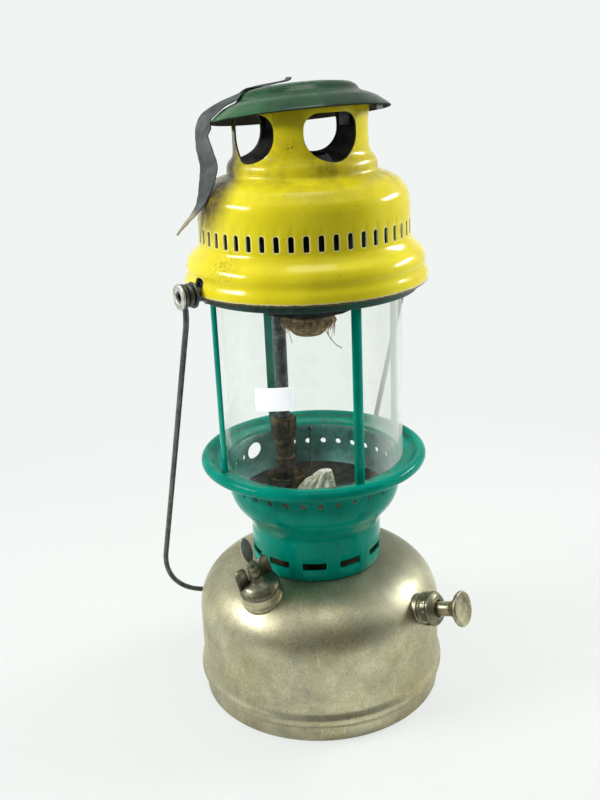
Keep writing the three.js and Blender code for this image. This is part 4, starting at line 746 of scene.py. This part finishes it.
foot = [(73.5, 0), (73.6, 8), (74.6, 10.2), (76, 11.5), (76, 14.6), (74.8, 16.6), (73.9, 18.6), (73.9, 24)]
shell = turned("tank_shell_fine", rounded([*foot, (73.9, 48)], 1.2, 3) + dome_outline() + [(TANK['throat'], 85)], 160)
thicken(shell, 1.2)
# The axes of the filler and of the pump, each from the place in millimetres where it meets the dome
FILLER = aimed(-36.8, 90 - 18.8, (-32.467, -43.400, 79.231))
PUMP = aimed(57, 16, (61.978, -40.249, 64.3))
cut_away(shell, cylinder(8.2, 30, 48, FILLER))
cut_away(shell, cylinder(7.9, 50, 48, PUMP))
complete(shell, 0.3, tank_plate, "base", "tank_plate", "tank_shell")
polished("tank_base", "base", "tank_plate", tank_plate)
print("tank shell faces:", len(shell.data.polygons))

# %% [markdown]
# ## The filler
# Neck, cap, ears and screw share one leaning axis. The cap is domed, and its two ears are flat plates
# that stand either side of the screw, so that fingers can turn it. The screw ends in an oval key.

# %% Filler neck
def tank_blank():
    """A solid a quarter of a millimetre larger than the tank, which trims whatever is let into its dome."""
    dome = [(r + 0.25, z + 0.25) for r, z in dome_outline(30)]
    return turned("tank_blank", [(0, 20), (74.2, 20), (74.2, 51), *dome, (0, 85.25)], 160)


neck = turned("filler_neck_fine", rounded([
    (8.2, -6), (12.6, -6), (12.6, -0.6), (11.4, 1.4), (11.2, 5.8), (9.5, 5.8), (9.5, 8.2), (8.2, 8.2)],
    0.6, 3, closed=True), 72)
settle(neck, FILLER)
cut_away(neck, tank_blank())
complete(neck, 0.15, tank_plate, "base", "tank_plate", "filler_neck")

# %% Filler cap
TWIST = FILLER @ Matrix.Rotation(math.radians(68.5), 4, 'Z')
cap_body = turned("filler_cap_fine", rounded([
    (9.85, 6.2), (12, 6.2), (12.15, 7.2), (12, 8.6), (11.3, 9.8), (8.6, 12.1), (5.2, 13.1), (4, 13.6), (3.6, 16.2),
    (2, 16.2), (2, 9.9), (9.85, 9.9)], 0.7, 3, closed=True), 80)
ears = []
for side in (-1, 1):
    ear = prism("ear", [(side * x, z) for x, z in rounded([
        (4, 10.4), (10.1, 10.4), (10.1, 7.8), (11.2, 7.8), (11.3, 19.4), (10.7, 22.9), (8.6, 24), (4.2, 23.2)],
        1.8, 4, closed=True)], 1.5)
    settle(ear, Matrix.Translation((0, 2.4 * MM, 0)))
    soften(ear, 0.3)
    ears.append(ear)
soften(cap_body, 0.2)
filler_cap = joined("filler_cap_fine", [cap_body, *ears])
settle(filler_cap, TWIST)
paint(filler_cap, grimy_plate)
belongs(filler_cap, "filler_cap", "tank_plate", "filler_cap")

# %% Air screw
screw = turned("air_screw_fine", rounded([
    (0, 5.2), (1.7, 6.9), (1.7, 16.5), (3.4, 16.7), (3.5, 20.4), (2.9, 21.2), (3.3, 22), (3.3, 24.6), (2.1, 26.4),
    (1.4, 29), (0, 29.4)], 0.5, 3), 48)
# The key is an oval, 7.8 by 18.8 mm, that a power of 0.85 makes a little squarer
key_shape = []
for out, up in arc((0, 0), (1, 1), [7.5 * i for i in range(48)]):
    key_shape.append((3.9 * math.copysign(abs(out) ** 0.85, out), 36.1 + 9.4 * math.copysign(abs(up) ** 0.85, up)))
key = prism("key", key_shape, 1.9)
# Both faces of the key are sunk 0.45 mm inside a raised edge
bpy.ops.object.mode_set(mode='EDIT')
bpy.ops.mesh.select_all(action='DESELECT')
bpy.ops.mesh.select_face_by_sides(number=8, type='GREATER')
bpy.ops.mesh.inset(thickness=0.95 * MM, depth=-0.45 * MM)
bpy.ops.object.mode_set(mode='OBJECT')
settle(key, Matrix.Rotation(math.radians(7.5), 4, 'Z'))
soften(key, 0.25)
soften(screw, 0)
paint(screw, grimy_plate)
paint(key, tank_plate, dark_steel)
for face in key.data.polygons:
    if len(face.vertices) > 8:
        face.material_index = 1
air_screw = joined("air_screw_fine", [screw, key])
settle(air_screw, TWIST)
belongs(air_screw, "air_screw", "dark_steel", "air_screw")

# %% [markdown]
# ## The pump
# The pump's tube enters the tank at a slant. Outside are a socket, a ridged cap and the knob on its rod.

# %% Pump socket
socket = turned("pump_socket_fine", rounded([
    (7.9, -14), (8.9, -14), (8.9, -1.7), (7.9, -1.7)], 0.3, 3, closed=True), 64)
settle(socket, PUMP)
cut_away(socket, tank_blank())
complete(socket, 0, tank_plate, "base", "tank_plate", "pump_socket")

# %% Pump cap and knob
pump_cap = turned("pump_cap_fine", rounded([
    (7.9, -1.3), (9.3, -1.3), (9.9, 0.05), (9.3, 1.4), (9.3, 4.8), (10.2, 5.4), (9.9, 6.8), (7.7, 9), (4.9, 9),
    (4.9, 6.2), (2.1, 6.2), (2.1, 3.3), (7.9, 3.3)], 0.5, 3, closed=True), 96)
ridge = prism("ridge", rounded([(-0.9, 1.5), (0.9, 1.5), (0.9, 4.7), (-0.9, 4.7)], 0.4, 3, closed=True), 1.2)
soften(ridge, 0.3)
ridges = repeated(ridge, [around(360 * i / 18, 9.3) for i in range(18)])
soften(pump_cap, 0)
pump_cap = joined("pump_cap_fine", [pump_cap, ridges])
settle(pump_cap, PUMP)
paint(pump_cap, grimy_plate)
belongs(pump_cap, "pump_cap", "tank_plate", "pump_cap")

knob = turned("pump_knob_fine", rounded([
    (2.1, 7.4), (4.3, 7.4), (4.3, 17.2), (5.9, 19.9), (9.7, 22.5), (10.5, 23.6), (9.8, 25.1), (8.4, 24.9), (5.2, 23.9),
    (0, 23.8), (0, 21.2), (2.1, 21.2)], 0.8, 4), 80)
merge_and_turn_out(knob)
edit_all()
bpy.ops.mesh.fill_holes(sides=400)
bpy.ops.object.mode_set(mode='OBJECT')
soften(knob, 0)
settle(knob, PUMP)
paint(knob, aged_brass)
belongs(knob, "pump_plunger", "aged_brass", "pump_knob")

# %% [markdown]
# ## The gallery
# One sheet rises from the collar through the bowl to a flat flange, whose edge is curled over. Slots let
# the air into the collar, a row of round holes feeds the flame, and one larger hole admits a match.

# %% Gallery
curl = arc((63.2, 149.6), (2.1, 2.1), range(140, -106, -15))
gallery = turned("gallery_fine", rounded([
    (39, 84.4), (39, 109.5), (42.3, 115.5), (47, 121), (49.5, 125.5), (50.9, 131), (50.9, 146.4), (52.2, 148.3),
    (58.8, 148.4)], 2.4, 4) + curl, 144)
paint(gallery, green_enamel, gallery_inside)
thicken(gallery, 1.2, inside=1)
# The flange's top and its roll belong to the sheet's other side, but they are clean green as well
for face in gallery.data.polygons:
    if face.center.z > 148 * MM or math.hypot(face.center.x, face.center.y) > 56 * MM:
        face.material_index = 0
print("gallery faces before its holes:", len(gallery.data.polygons))

# %% Holes of the gallery
drill = cylinder(1.75, 9, 20, Matrix.Rotation(math.pi / 2, 4, 'X'))
# The match hole takes the place of the round holes on either side of it
MATCH_AZIMUTH, HOLE_PITCH = -131.8, 11.25
hole_places = [3.5 + HOLE_PITCH * i for i in range(32)]
hole_places = [a for a in hole_places if abs((a - MATCH_AZIMUTH + 540) % 360 - 180) > HOLE_PITCH]
round_holes = repeated(drill, [around(a, 50.9, 137.0) for a in hole_places])
slot_shape = rounded([(-7, -2.3), (7, -2.3), (7, 2.3), (-7, 2.3)], 0.8, 3, closed=True)
collar_slots = repeated(prism("slot", slot_shape, 9), [around(-2.8 + 360 * i / 11, 39, 93.2) for i in range(11)])
match_hole = prism("match_hole", arc((0, 0), (6.2, 5.2), [11.25 * i for i in range(32)]), 9)
settle(match_hole, around(MATCH_AZIMUTH, 50.9, 138.2))
holes = joined("gallery_holes", [round_holes, collar_slots, match_hole])
paint(holes, green_enamel)
cut_away(gallery, holes)
soften(gallery, 0.18)
belongs(gallery, "base", "green_enamel", "gallery")
print("gallery faces:", len(gallery.data.polygons))

# %% [markdown]
# ## The glass and its frame
# The globe is a plain tube of glass with its ends melted round. Four flat strips hold the top ring over
# it, and the ring's well carries the burner and seats the hood.

# %% Globe, strips and ring
globe = turned("globe_fine", rounded([(51, 149.9), (53, 149.9), (53, 254.1), (51, 254.1)], 0.7, 4, closed=True), 160)
complete(globe, 0, globe_glass, "globe", "globe_glass", "globe")

# The label covers 24 degrees of the glass. It is stuck on aslant, and rises 2.6 mm to its right end
LABEL_LEFT, LABEL_ACROSS, LABEL_RISE = -22.3, 24, 0.11
label = turned("label", [(53.12, 193.7), (53.12, 206.8)], 24, -100.3, LABEL_ACROSS)
for vertex in label.data.vertices:
    vertex.co.z += LABEL_RISE * (math.degrees(math.atan2(vertex.co.x, -vertex.co.y)) - LABEL_LEFT) * MM
thicken(label, 0.08)
paint(label, label_paper_painted_glow)
belongs(label, "globe", "globe_glass")

for number in range(1, 5):
    polished(f"frame_strip_{number}", "base", "green_enamel", green_enamel, 0.3)

ring = turned("top_ring_fine", rounded([
    (60.8, 249.6), (62, 249.6), (62, 256.4), (60.8, 257.8), (60.8, 271.6), (59.6, 271.6), (59.6, 256.6), (54, 256.6),
    (54, 255.4), (60.8, 255.4)], 0.5, 3, closed=True), 144)
complete(ring, 0, shaded_ring_green, "base", "green_enamel", "top_ring")
print("glass and ring faces:", len(globe.data.polygons), len(ring.data.polygons))

# %% [markdown]
# ## Inside the gallery
# The feed rises through a dark floor pan. Beside it stand the cup for the priming spirit, a short post
# and what is left of a burnt mantle, which is a crumpled bag of brittle white mesh.

# %% Feed and floor
for node, slot, material in [
        ("burner_boss", "aged_brass", aged_brass), ("valve_body", "aged_brass", aged_brass),
        ("control_gland", "aged_brass", aged_brass), ("control_spindle", "dark_steel", dark_steel),
        ("control_knob", "black_plastic", black_plastic), ("lower_stem", "aged_brass", browned_brass),
        ("vaporiser_nut", "aged_brass", browned_brass),
        ("jet", "aged_brass", browned_brass), ("spirit_cup", "aged_brass", browned_brass),
        ("floor_pan", "dark_steel", scorched_floor)]:
    body = "control" if node in ("control_spindle", "control_knob") else "base"
    polished(node, body, slot, material, 0.3)


# %% Vaporiser and post
def upright(node):
    """The foot and top of an upright part of the frame in millimetres, and its axis as a matrix."""
    low, high = [Vector(corner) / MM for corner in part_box(node)]
    return low.z, high.z, Matrix.Translation(((low.x + high.x) / 2 * MM, (low.y + high.y) / 2 * MM, 0))


low, high, axis = upright("vaporiser_tube")
vaporiser = turned("vaporiser_tube_fine", [(3.1, low), (4.0, low), (4.0, high), (3.1, high), (3.1, low)], 48)
settle(vaporiser, axis)
complete(vaporiser, 0, blued_tube, "base", "dark_steel", "vaporiser_tube")

# The post is a thin wire that ends in a small ball
low, high, axis = upright("floor_post")
post = turned("floor_post_fine", rounded([
    (0, low), (1.2, low), (1.2, low + 1.2), (0.55, low + 1.8), (0.55, high - 3.2), (1.35, high - 2.4),
    (1.35, high - 0.8), (0.5, high), (0, high)], 0.4, 3), 32)
settle(post, axis)
complete(post, 0, dark_steel, "base", "dark_steel", "floor_post")

# %% Scrap of mantle
# On a ball of radius 1: where it is cut off below, and the radius of the gathered tip
CUT, TIP = -0.35, 0.12
random.seed(7)
low, high = [Vector(corner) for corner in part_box("mantle_scrap")]
middle, half = (low + high) / 2, (high - low) / 2
bpy.ops.mesh.primitive_uv_sphere_add(segments=120, ring_count=60, radius=1)
scrap = bpy.context.object
scrap.name = "mantle_scrap_fine"
edit_all()
bpy.ops.mesh.bisect(plane_co=(0, 0, CUT), plane_no=(0, 0, 1), clear_inner=True)
bpy.ops.object.mode_set(mode='OBJECT')
# Pleats fan out from a gathered tip that leans to the right, and a slow noise crumples them
for vertex in scrap.data.vertices:
    spot = vertex.co.copy()
    turn = math.atan2(spot.y, spot.x)
    down = (1 - spot.z) / (1 - CUT)
    pleat = 0.22 * (0.3 + down) * math.sin(15 * turn + 2.5 * math.sin(2 * turn))
    dent = 0.22 * noise.noise(spot * 1.7 + Vector((4, 1, 2))) + 0.06 * noise.noise(spot * 5)
    out = math.hypot(spot.x, spot.y)
    reach = (0.34 + 0.66 * down ** 0.7) * (1 + pleat + dent) / max(out, TIP) * min(1, out / TIP)
    hem = 0.12 * math.sin(5 * turn) + 0.1 * noise.noise(spot * 4)
    vertex.co = (spot.x * reach + 0.55 * (1 - down), spot.y * reach,
                 spot.z + 0.3 * dent - hem * down * (spot.z > CUT + 0.01))
top = max(v.co.z for v in scrap.data.vertices)
bottom = min(v.co.z for v in scrap.data.vertices)
stretch = (high.z + 0.0025 - low.z) / (top - bottom)
settle(scrap, Matrix.Translation((0.0005, middle.y, low.z - bottom * stretch))
       @ Matrix.Diagonal((0.0102, half.y, stretch, 1)))
thicken(scrap, 0.25, even=False)
merge_and_turn_out(scrap)
complete(scrap, 0, mantle_cloth, "base", "mantle_cloth", "mantle_scrap", angle=60)

# %% [markdown]
# ## The bail
# A wire of 3.2 mm runs from an eye on one lug, down and round behind the lantern, up to the other eye.
# On each lug sit a dark spacer and a pale eyelet.

# %% Bail
# The lugs are 256 mm up. The wire reaches 236 mm down from them, and its bend leans on the tank's wall
PIVOT_HEIGHT, LUG_AZIMUTHS, WIRE_RADIUS, BAIL_LENGTH = 256, (-58, 122), 1.6, 236
eye = [(73.1, y, z) for y, z in arc((0, 0), (4.9, 4.9), [-45 + 255 * i / 24 for i in range(25)])]
shank = rounded([(73.1, -4.5, -4.4), (73.1, -3.04, -7.35), (73.1, -0.78, -12.74), (73.1, 0, -18.62)], 3, 4)[1:]
bend = [(x, 0, z) for x, z in arc((25.2, -186), (50, -50), [90 * i / 24 for i in range(25)])]
half_route = [*eye, *shank, (74.15, 0, -111.6), *bend]
bail = round_wire("bail_fine", half_route + [(-x, y, z) for x, y, z in reversed(half_route)], WIRE_RADIUS, 5)
lean = -math.asin((TANK['wall'] + WIRE_RADIUS + 0.6) / BAIL_LENGTH)
settle(bail, around(LUG_AZIMUTHS[0] - 90, 0, PIVOT_HEIGHT) @ Matrix.Rotation(lean, 4, 'X'))
merge_and_turn_out(bail)
complete(bail, 0, dark_steel, "bail", "dark_steel", "bail", angle=50)
print("bail faces:", len(bail.data.polygons))

# %% Lugs, spacers and eyelets
lug_outline = [(0, 62.3), (6, 62.3), (6, 63.5), (4, 64), (4, 70), (7, 70), (7, 71.2), (2.9, 71.2), (2.9, 78.4),
               (2.1, 78.4), (2.1, 75.4), (0, 75.4)]
spacer_outline = [(3.2, 75), (5.4, 75), (6.6, 75.5), (6.6, 76.9), (5.4, 77.4), (3.2, 77.4)]
eyelet_outline = [(3.2, 77.7), (7, 77.7), (7, 78.7), (6.2, 79.1), (5, 78.9), (3.9, 79.1), (3.2, 78.6)]
for side, azimuth in zip(("left", "right"), LUG_AZIMUTHS):
    mount = aimed(azimuth, 0, (0, 0, PIVOT_HEIGHT))
    for part, outline, material, slot in (("lug", lug_outline, dark_steel, "dark_steel"),
                                          ("spacer", spacer_outline, dark_steel, "dark_steel"),
                                          ("eyelet", eyelet_outline, zinc_plate, "zinc_plate")):
        piece = turned(f"bail_{part}_{side}_fine", rounded(outline, 0.35, 3, closed=part != "lug"), 56)
        settle(piece, mount)
        complete(piece, 0, material, "base", slot, f"bail_{part}_{side}")

# %% [markdown]
# ## The burner
# A three-armed plate carries a steel casing, which is seen only through the hood's openings. Below it the
# gas comes out of a clay nozzle, whose binding has frayed and dangles in singed threads.

# %% Burner
for node, slot, material in [
        ("burner_carrier", "dark_steel", charred_inside), ("burner_casing", "dark_steel", charred_inside),
        ("burner_plate", "dark_steel", charred_inside), ("mixing_tube", "aged_brass", browned_brass),
        ("nozzle_holder", "aged_brass", browned_brass)]:
    polished(node, "burner", slot, material, 0.3)

nozzle = turned("ceramic_nozzle_fine", rounded([
    (4.4, 223.2), (8, 222.5), (9.6, 224), (11.8, 226.6), (13.8, 229.4), (14.6, 231.8), (14.6, 234.4), (13.6, 236),
    (4.4, 236)], 0.8, 4, closed=True), 80)
complete(nozzle, 0, fired_clay, "burner", "fired_clay", "ceramic_nozzle")

# %% Frayed binding of the nozzle
# Three turns of thread 1 mm thick, then singed ends. Every ninth end is a long one
BINDING_RADIUS, STRANDS = 14.75, 130
binding = []
for turn in range(3):
    loop = [(BINDING_RADIUS * math.cos(a), BINDING_RADIUS * math.sin(a),
             231.7 + 1.05 * turn + 0.35 * math.sin(3 * a + turn)) for a in [math.tau * i / 72 for i in range(73)]]
    binding.append((loop, 0.5))
for strand in range(STRANDS):
    azimuth = math.radians(random.uniform(-180, 180))
    reach, drop = random.uniform(14.8, 16), random.uniform(1, 4) if strand % 9 else random.uniform(5, 10)
    x, y = reach * math.sin(azimuth), -reach * math.cos(azimuth)
    sway = random.uniform(-1.4, 1.4)
    binding.append(([(x * 0.96, y * 0.96, random.uniform(231.5, 235)), (x * 1.02, y * 1.02, 231.5 - drop / 4),
                     (x * 0.97 + sway * 0.5, y * 0.96, 230.5 - drop / 2), (x * 0.88 + sway, y * 0.88, 229.5 - drop)],
                    random.uniform(0.1, 0.22)))
binding.append(([(9, -10.6, 230), (9.6, -9, 226.4), (12.4, -8.4, 221), (15.4, -8, 217.4), (18.6, -8, 215.4)], 0.25))
threads = joined("nozzle_binding", [round_wire("strand", points, radius, 2) for points, radius in binding])
merge_and_turn_out(threads)
complete(threads, 0, scorched_thread, "burner", "fired_clay", angle=60)
print("binding strands:", len(binding))

# %% [markdown]
# ## The hood
# The outline runs from the rim through two soft beads, in to the slotted drum, over a rounded crown and a
# small step, and up the neck. Five windows open the neck, and two notches in the rim straddle the lugs.

# %% Hood
hood_outline = [
    (67.4, 254.2), (67.8, 255.8), (67.6, 258.8), (66, 262.2), (65.9, 264.2), (66.2, 266), (65.6, 268.4), (64.3, 270.8),
    (60.4, 274.2), (58.3, 277.8), (58.1, 282), (58.1, 294.6), (57.7, 299.2), (56.7, 302.6), (52.6, 308), (47.2, 311.2),
    (42, 312.6), (40.6, 313.8), (40.6, 317.6), (39.8, 319.8), (37.4, 322.4), (36.7, 325), (36.7, 348)]
hood = turned("hood_fine", rounded(hood_outline, 1.5, 3), 192)
paint(hood, yellow_enamel, sooty_inside, chipped_edge)
thicken(hood, 1, inside=1, rim=2)
print("hood faces before its openings:", len(hood.data.polygons))

# %% Openings of the hood
slot_shape = rounded([(-1.45, -4.1), (1.45, -4.1), (1.45, 4.1), (-1.45, 4.1)], 1.4, 5, closed=True)
slot_places = [around(SLOT_TURN + SLOT_PITCH * i, 58, SLOT_HEIGHT) for i in range(SLOTS)]
slots = repeated(prism("slot", slot_shape, 8), slot_places)
# A window is round below and has two softer corners above
window_shape = arc((0, 14), (15, 14), range(180, 361, 9))
window_shape += arc((7, 16.2), (8, 8), range(10, 91, 10)) + arc((-7, 16.2), (8, 8), range(90, 171, 10))
windows = repeated(prism("window", window_shape, 14), [around(26.3 + 72 * i, 36.7, 320.4) for i in range(5)])
notch_shape = rounded([(-4.7, -6), (4.7, -6), (4.7, 9), (-4.7, 9)], 3.6, 5, closed=True)
notches = repeated(prism("notch", notch_shape, 16), [around(a, 66, 255.4) for a in LUG_AZIMUTHS])
openings = joined("hood_openings", [slots, windows, notches])
paint(openings, chipped_edge)
cut_away(hood, openings, 'EXACT')
# The windows' cut walls are sooty like the inside
for face in hood.data.polygons:
    if face.material_index == 2 and face.center.z > 300 * MM:
        face.material_index = 1
print("hood materials:", [m.name for m in hood.data.materials])
soften(hood, 0.4, material=2)
belongs(hood, "hood", "yellow_enamel", "hood")
print("hood faces:", len(hood.data.polygons))

# %% [markdown]
# ## The cap
# The cap is a shallow spun disc with a raised crown. It leans forwards and to one side, because the
# three brackets that hold it are bent. A length of old cloth tape still hangs over it.

# %% Cap and brackets
CAP = Matrix.Translation((0, 0, (255.4 + 87.1) * MM)) @ (
    Matrix.Rotation(math.radians(-6.04), 4, 'X') @ Matrix.Rotation(math.radians(-3.51), 4, 'Y'))
CAP_OUTLINE = [(48.5, 0), (47.6, 1), (44.6, 3.4), (41, 6), (36.5, 7.9), (34.2, 8.6), (32.4, 10), (31, 12.3),
               (28.4, 13.8), (21, 14.9), (10, 15.2), (0, 15.3)]
cap = turned("hood_cap_fine", rounded(CAP_OUTLINE, 1.6, 4), 144)
paint(cap, cap_enamel, charred_inside)
thicken(cap, 0.9, inside=1, rim=1)
settle(cap, CAP)
soften(cap, 0.2)
belongs(cap, "hood", "cap_enamel", "hood_cap")
for number in range(1, 4):
    polished(f"cap_bracket_{number}", "hood", "dark_steel", dark_steel, 0.2)
# The neck's top edge is bent down wherever it would come through the leaning cap
ROOM_UNDER_CAP = 5.6 * MM
for vertex in hood.data.vertices:
    local = CAP.inverted() @ vertex.co
    if local.z > ROOM_UNDER_CAP:
        local.z = ROOM_UNDER_CAP
        vertex.co = CAP @ local
print("cap faces:", len(cap.data.polygons))

# %% [markdown]
# ## The tape
# The tape lies over the cap from its free end, turns over the brim and hangs down beside the neck with a
# kink. It is a strip of cloth 12 mm wide, drawn as rows across its route and thickened.

# %% Tape over the cap
# Each stop of the route is a place in millimetres and the direction in degrees that the tape's width takes
tape_route = [(-5, 12, 361.3, -42), (-6.6, 11.5, 359.6, -44), (-14, 8.5, 358.4, -47), (-22, 5, 356.9, -52),
              (-30.5, 1.2, 353.4, -58), (-38, -0.6, 350.8, -62), (-45, -2, 347.6, -66), (-50, -3.6, 344, -65),
              (-51.8, -6.6, 338.8, -58), (-51.6, -9.5, 333.6, -50), (-50, -13.5, 325.8, -40), (-48.4, -17.4, 319, -38),
              (-49.2, -21, 312.8, -42), (-51.2, -24, 306, -48), (-54.2, -25, 299.6, -55), (-59.6, -23.4, 293.4, -62),
              (-64.6, -20.4, 288, -70), (-67.6, -19, 284.4, -74)]
TAPE_WIDTH, TAPE_ROWS, TAPE_COLUMNS = 12, 150, 14
# The shares of its length at which the tape crosses the brim, leaves the cap and begins to fray, and the
# height in millimetres at which it lies over the cap
BRIM_AT, CAP_UNTIL, FRAYED_FROM, OVER_CAP = 0.33, 0.46, 0.72, 0.9


def along_route(share):
    """A smooth place on the route, with the direction of the tape's width."""
    place = min(share * (len(tape_route) - 1), len(tape_route) - 1.001)
    i, t = int(place), place - int(place)
    a, b, c, d = [Vector(tape_route[min(max(k, 0), len(tape_route) - 1)]) for k in (i - 1, i, i + 1, i + 2)]
    return 0.5 * (2 * b + (c - a) * t + (2 * a - 5 * b + 4 * c - d) * t ** 2 + (3 * b - a - 3 * c + d) * t ** 3)


def cap_height(radius):
    """How high the cap's skin stands over its own brim at a radius, or None outside it."""
    for (r1, z1), (r2, z2) in zip(CAP_OUTLINE, CAP_OUTLINE[1:]):
        if r2 <= radius <= r1:
            return z1 + (z2 - z1) * (radius - r1) / (r2 - r1)
    return None


bpy.ops.mesh.primitive_grid_add(x_subdivisions=TAPE_COLUMNS, y_subdivisions=TAPE_ROWS, size=2)
tape = bpy.context.object
tape.name = "cover_tape"
for vertex in tape.data.vertices:
    side, share = vertex.co.x, (vertex.co.y + 1) / 2
    spot = along_route(share)
    face = math.radians(spot[3])
    frayed = max(share - FRAYED_FROM, 0) / (1 - FRAYED_FROM)
    ragged = 0.06 * noise.noise(Vector((side * 0.6, share * 40, 0))) * (1 + 2 * frayed)
    narrow = 1 - 0.8 * min(frayed * 1.25, 1) ** 0.9 + ragged - 0.7 * max(min((0.22 - share) / 0.12, 1), 0)
    # Over the brim the front edge spreads and sags on to the cap
    sag = max(0, 1 - ((share - BRIM_AT) / 0.19) ** 2) * (side + 1) / 2
    reach = side * TAPE_WIDTH / 2 * narrow + 8.5 * sag
    curl_up = 0.5 * noise.noise(Vector((side * 1.2, share * 9, 3)))
    vertex.co = Vector((spot[0] + reach * math.cos(face), spot[1] + reach * math.sin(face), spot[2])) * MM
    vertex.co += Vector((math.sin(face), -math.cos(face), 0)) * curl_up * MM * (0.3 + share)
    vertex.co.z -= 4 * sag * MM
    # Nothing sinks into the cap
    local = CAP.inverted() @ vertex.co
    skin = cap_height(math.hypot(local.x, local.y) / MM)
    if share < CAP_UNTIL and skin is not None and local.z < (skin + OVER_CAP) * MM:
        local.z = (skin + OVER_CAP) * MM
        vertex.co = CAP @ local
thicken(tape, 0.6)
merge_and_turn_out(tape)
complete(tape, 0, tape_cloth, "hood", "tape_cloth", "cover_strip", angle=50)

# %% [markdown]
# ## Light and ground
# The lantern stands on a pale sweep that rises all round it, like a photographer's tent with an open
# top. Two soft boxes light it from the left front and from the right behind, and a large one fills from
# above, so the metal mirrors pale sides and a darker middle.

# %% Stage
# The floor lies 0.4 mm below the tank's foot, so that the two never share a face
sweep_outline = [(0, 0), (1000, 0), *arc((1000, 300), (300, 300), range(-84, 1, 6)), (1300, 1500)]
floor = turned("sweep", sweep_outline, 96)
settle(floor, Matrix.Translation((0, 0, -0.4 * MM)))
bpy.ops.object.shade_smooth()
pale = start_material('pale_paper')
paper = add('TexNoise', {'Vector': place, 'Scale': 3, 'Detail': 3})
tint = add('ValToRGB', {'Fac': paper}, ramp=[(0.3, 'E0E2DE'), (0.7, 'E8EAE6')])
# Towards the camera the room is dark, which leaves a dark middle in everything shiny
depth = add('SeparateXYZ', {'Vector': place}).outputs['Y']
dark_share = add('MapRange', [depth, -0.6, -0.2, 0.85, 0])
shaded = add('Mix', {0: dark_share, 6: tint, 7: from_hex('3A3C3A')}, data_type='RGBA')
matt = add('BsdfDiffuse', {'Color': shaded})
glow = add('Emission', {'Color': from_hex('F0F4F2'), 'Strength': 1.0})
ray = add('LightPath', {})
seen = add('Math', [ray.outputs['Is Camera Ray'], ray.outputs['Is Transmission Ray']], operation='MAXIMUM')
# The lantern's soft shadow shows near its foot and has gone half a metre away
away = add('VectorMath', [place], operation='LENGTH').outputs['Value']
near = add('MapRange', [away, 0.15, 0.5, 0.72, 1])
share = add('Math', [seen, near], operation='MULTIPLY')
mixed = add('MixShader', [share, matt, glow])
add('OutputMaterial', {'Surface': mixed})
paint(floor, pale)
print("made", pale.name)

# %% Lights
# Each box has its azimuth and elevation in degrees, distance and size in metres, and power in watts
MIDDLE = Vector((0, 0, 0.2))
for name, azimuth, elevation, distance, size, power in (("left box", -76, 28, 1.0, (0.44, 0.14), 7.5),
                                                        ("right box", 110, 23, 1.0, (0.44, 0.14), 7.5),
                                                        ("top box", 20, 84, 1.1, (0.5, 0.5), 3)):
    away = aimed(azimuth, elevation, (0, 0, 0)).col[2].to_3d()
    bpy.ops.object.light_add(type='AREA', location=MIDDLE + away * distance)
    light = bpy.context.object
    light.name = name
    light.rotation_euler = away.to_track_quat('Z', 'Y').to_euler()
    light.data.shape, light.data.energy = 'RECTANGLE', power
    light.data.size, light.data.size_y = size
world = bpy.data.worlds.new("studio")
bpy.context.scene.world = world
world.use_nodes = True
sky = world.node_tree.nodes['Background'].inputs
sky['Color'].default_value, sky['Strength'].default_value = from_hex('E8ECEC'), 0.9
bpy.context.scene.view_settings.view_transform = 'Standard'

# %% [markdown]
# ## Finish
# The parts that stay as the frame has them, mostly hidden ones, get their finish.

# %% Finish
for material, nodes in ((leather, ("filler_washer", "pump_leather")),
                        (aged_brass, ("pump_tube", "check_valve", "pickup_tube")),
                        (dark_steel, ("pump_spring", "pump_rod", "pricker_rod"))):
    for node in nodes:
        paint(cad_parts[node], material)
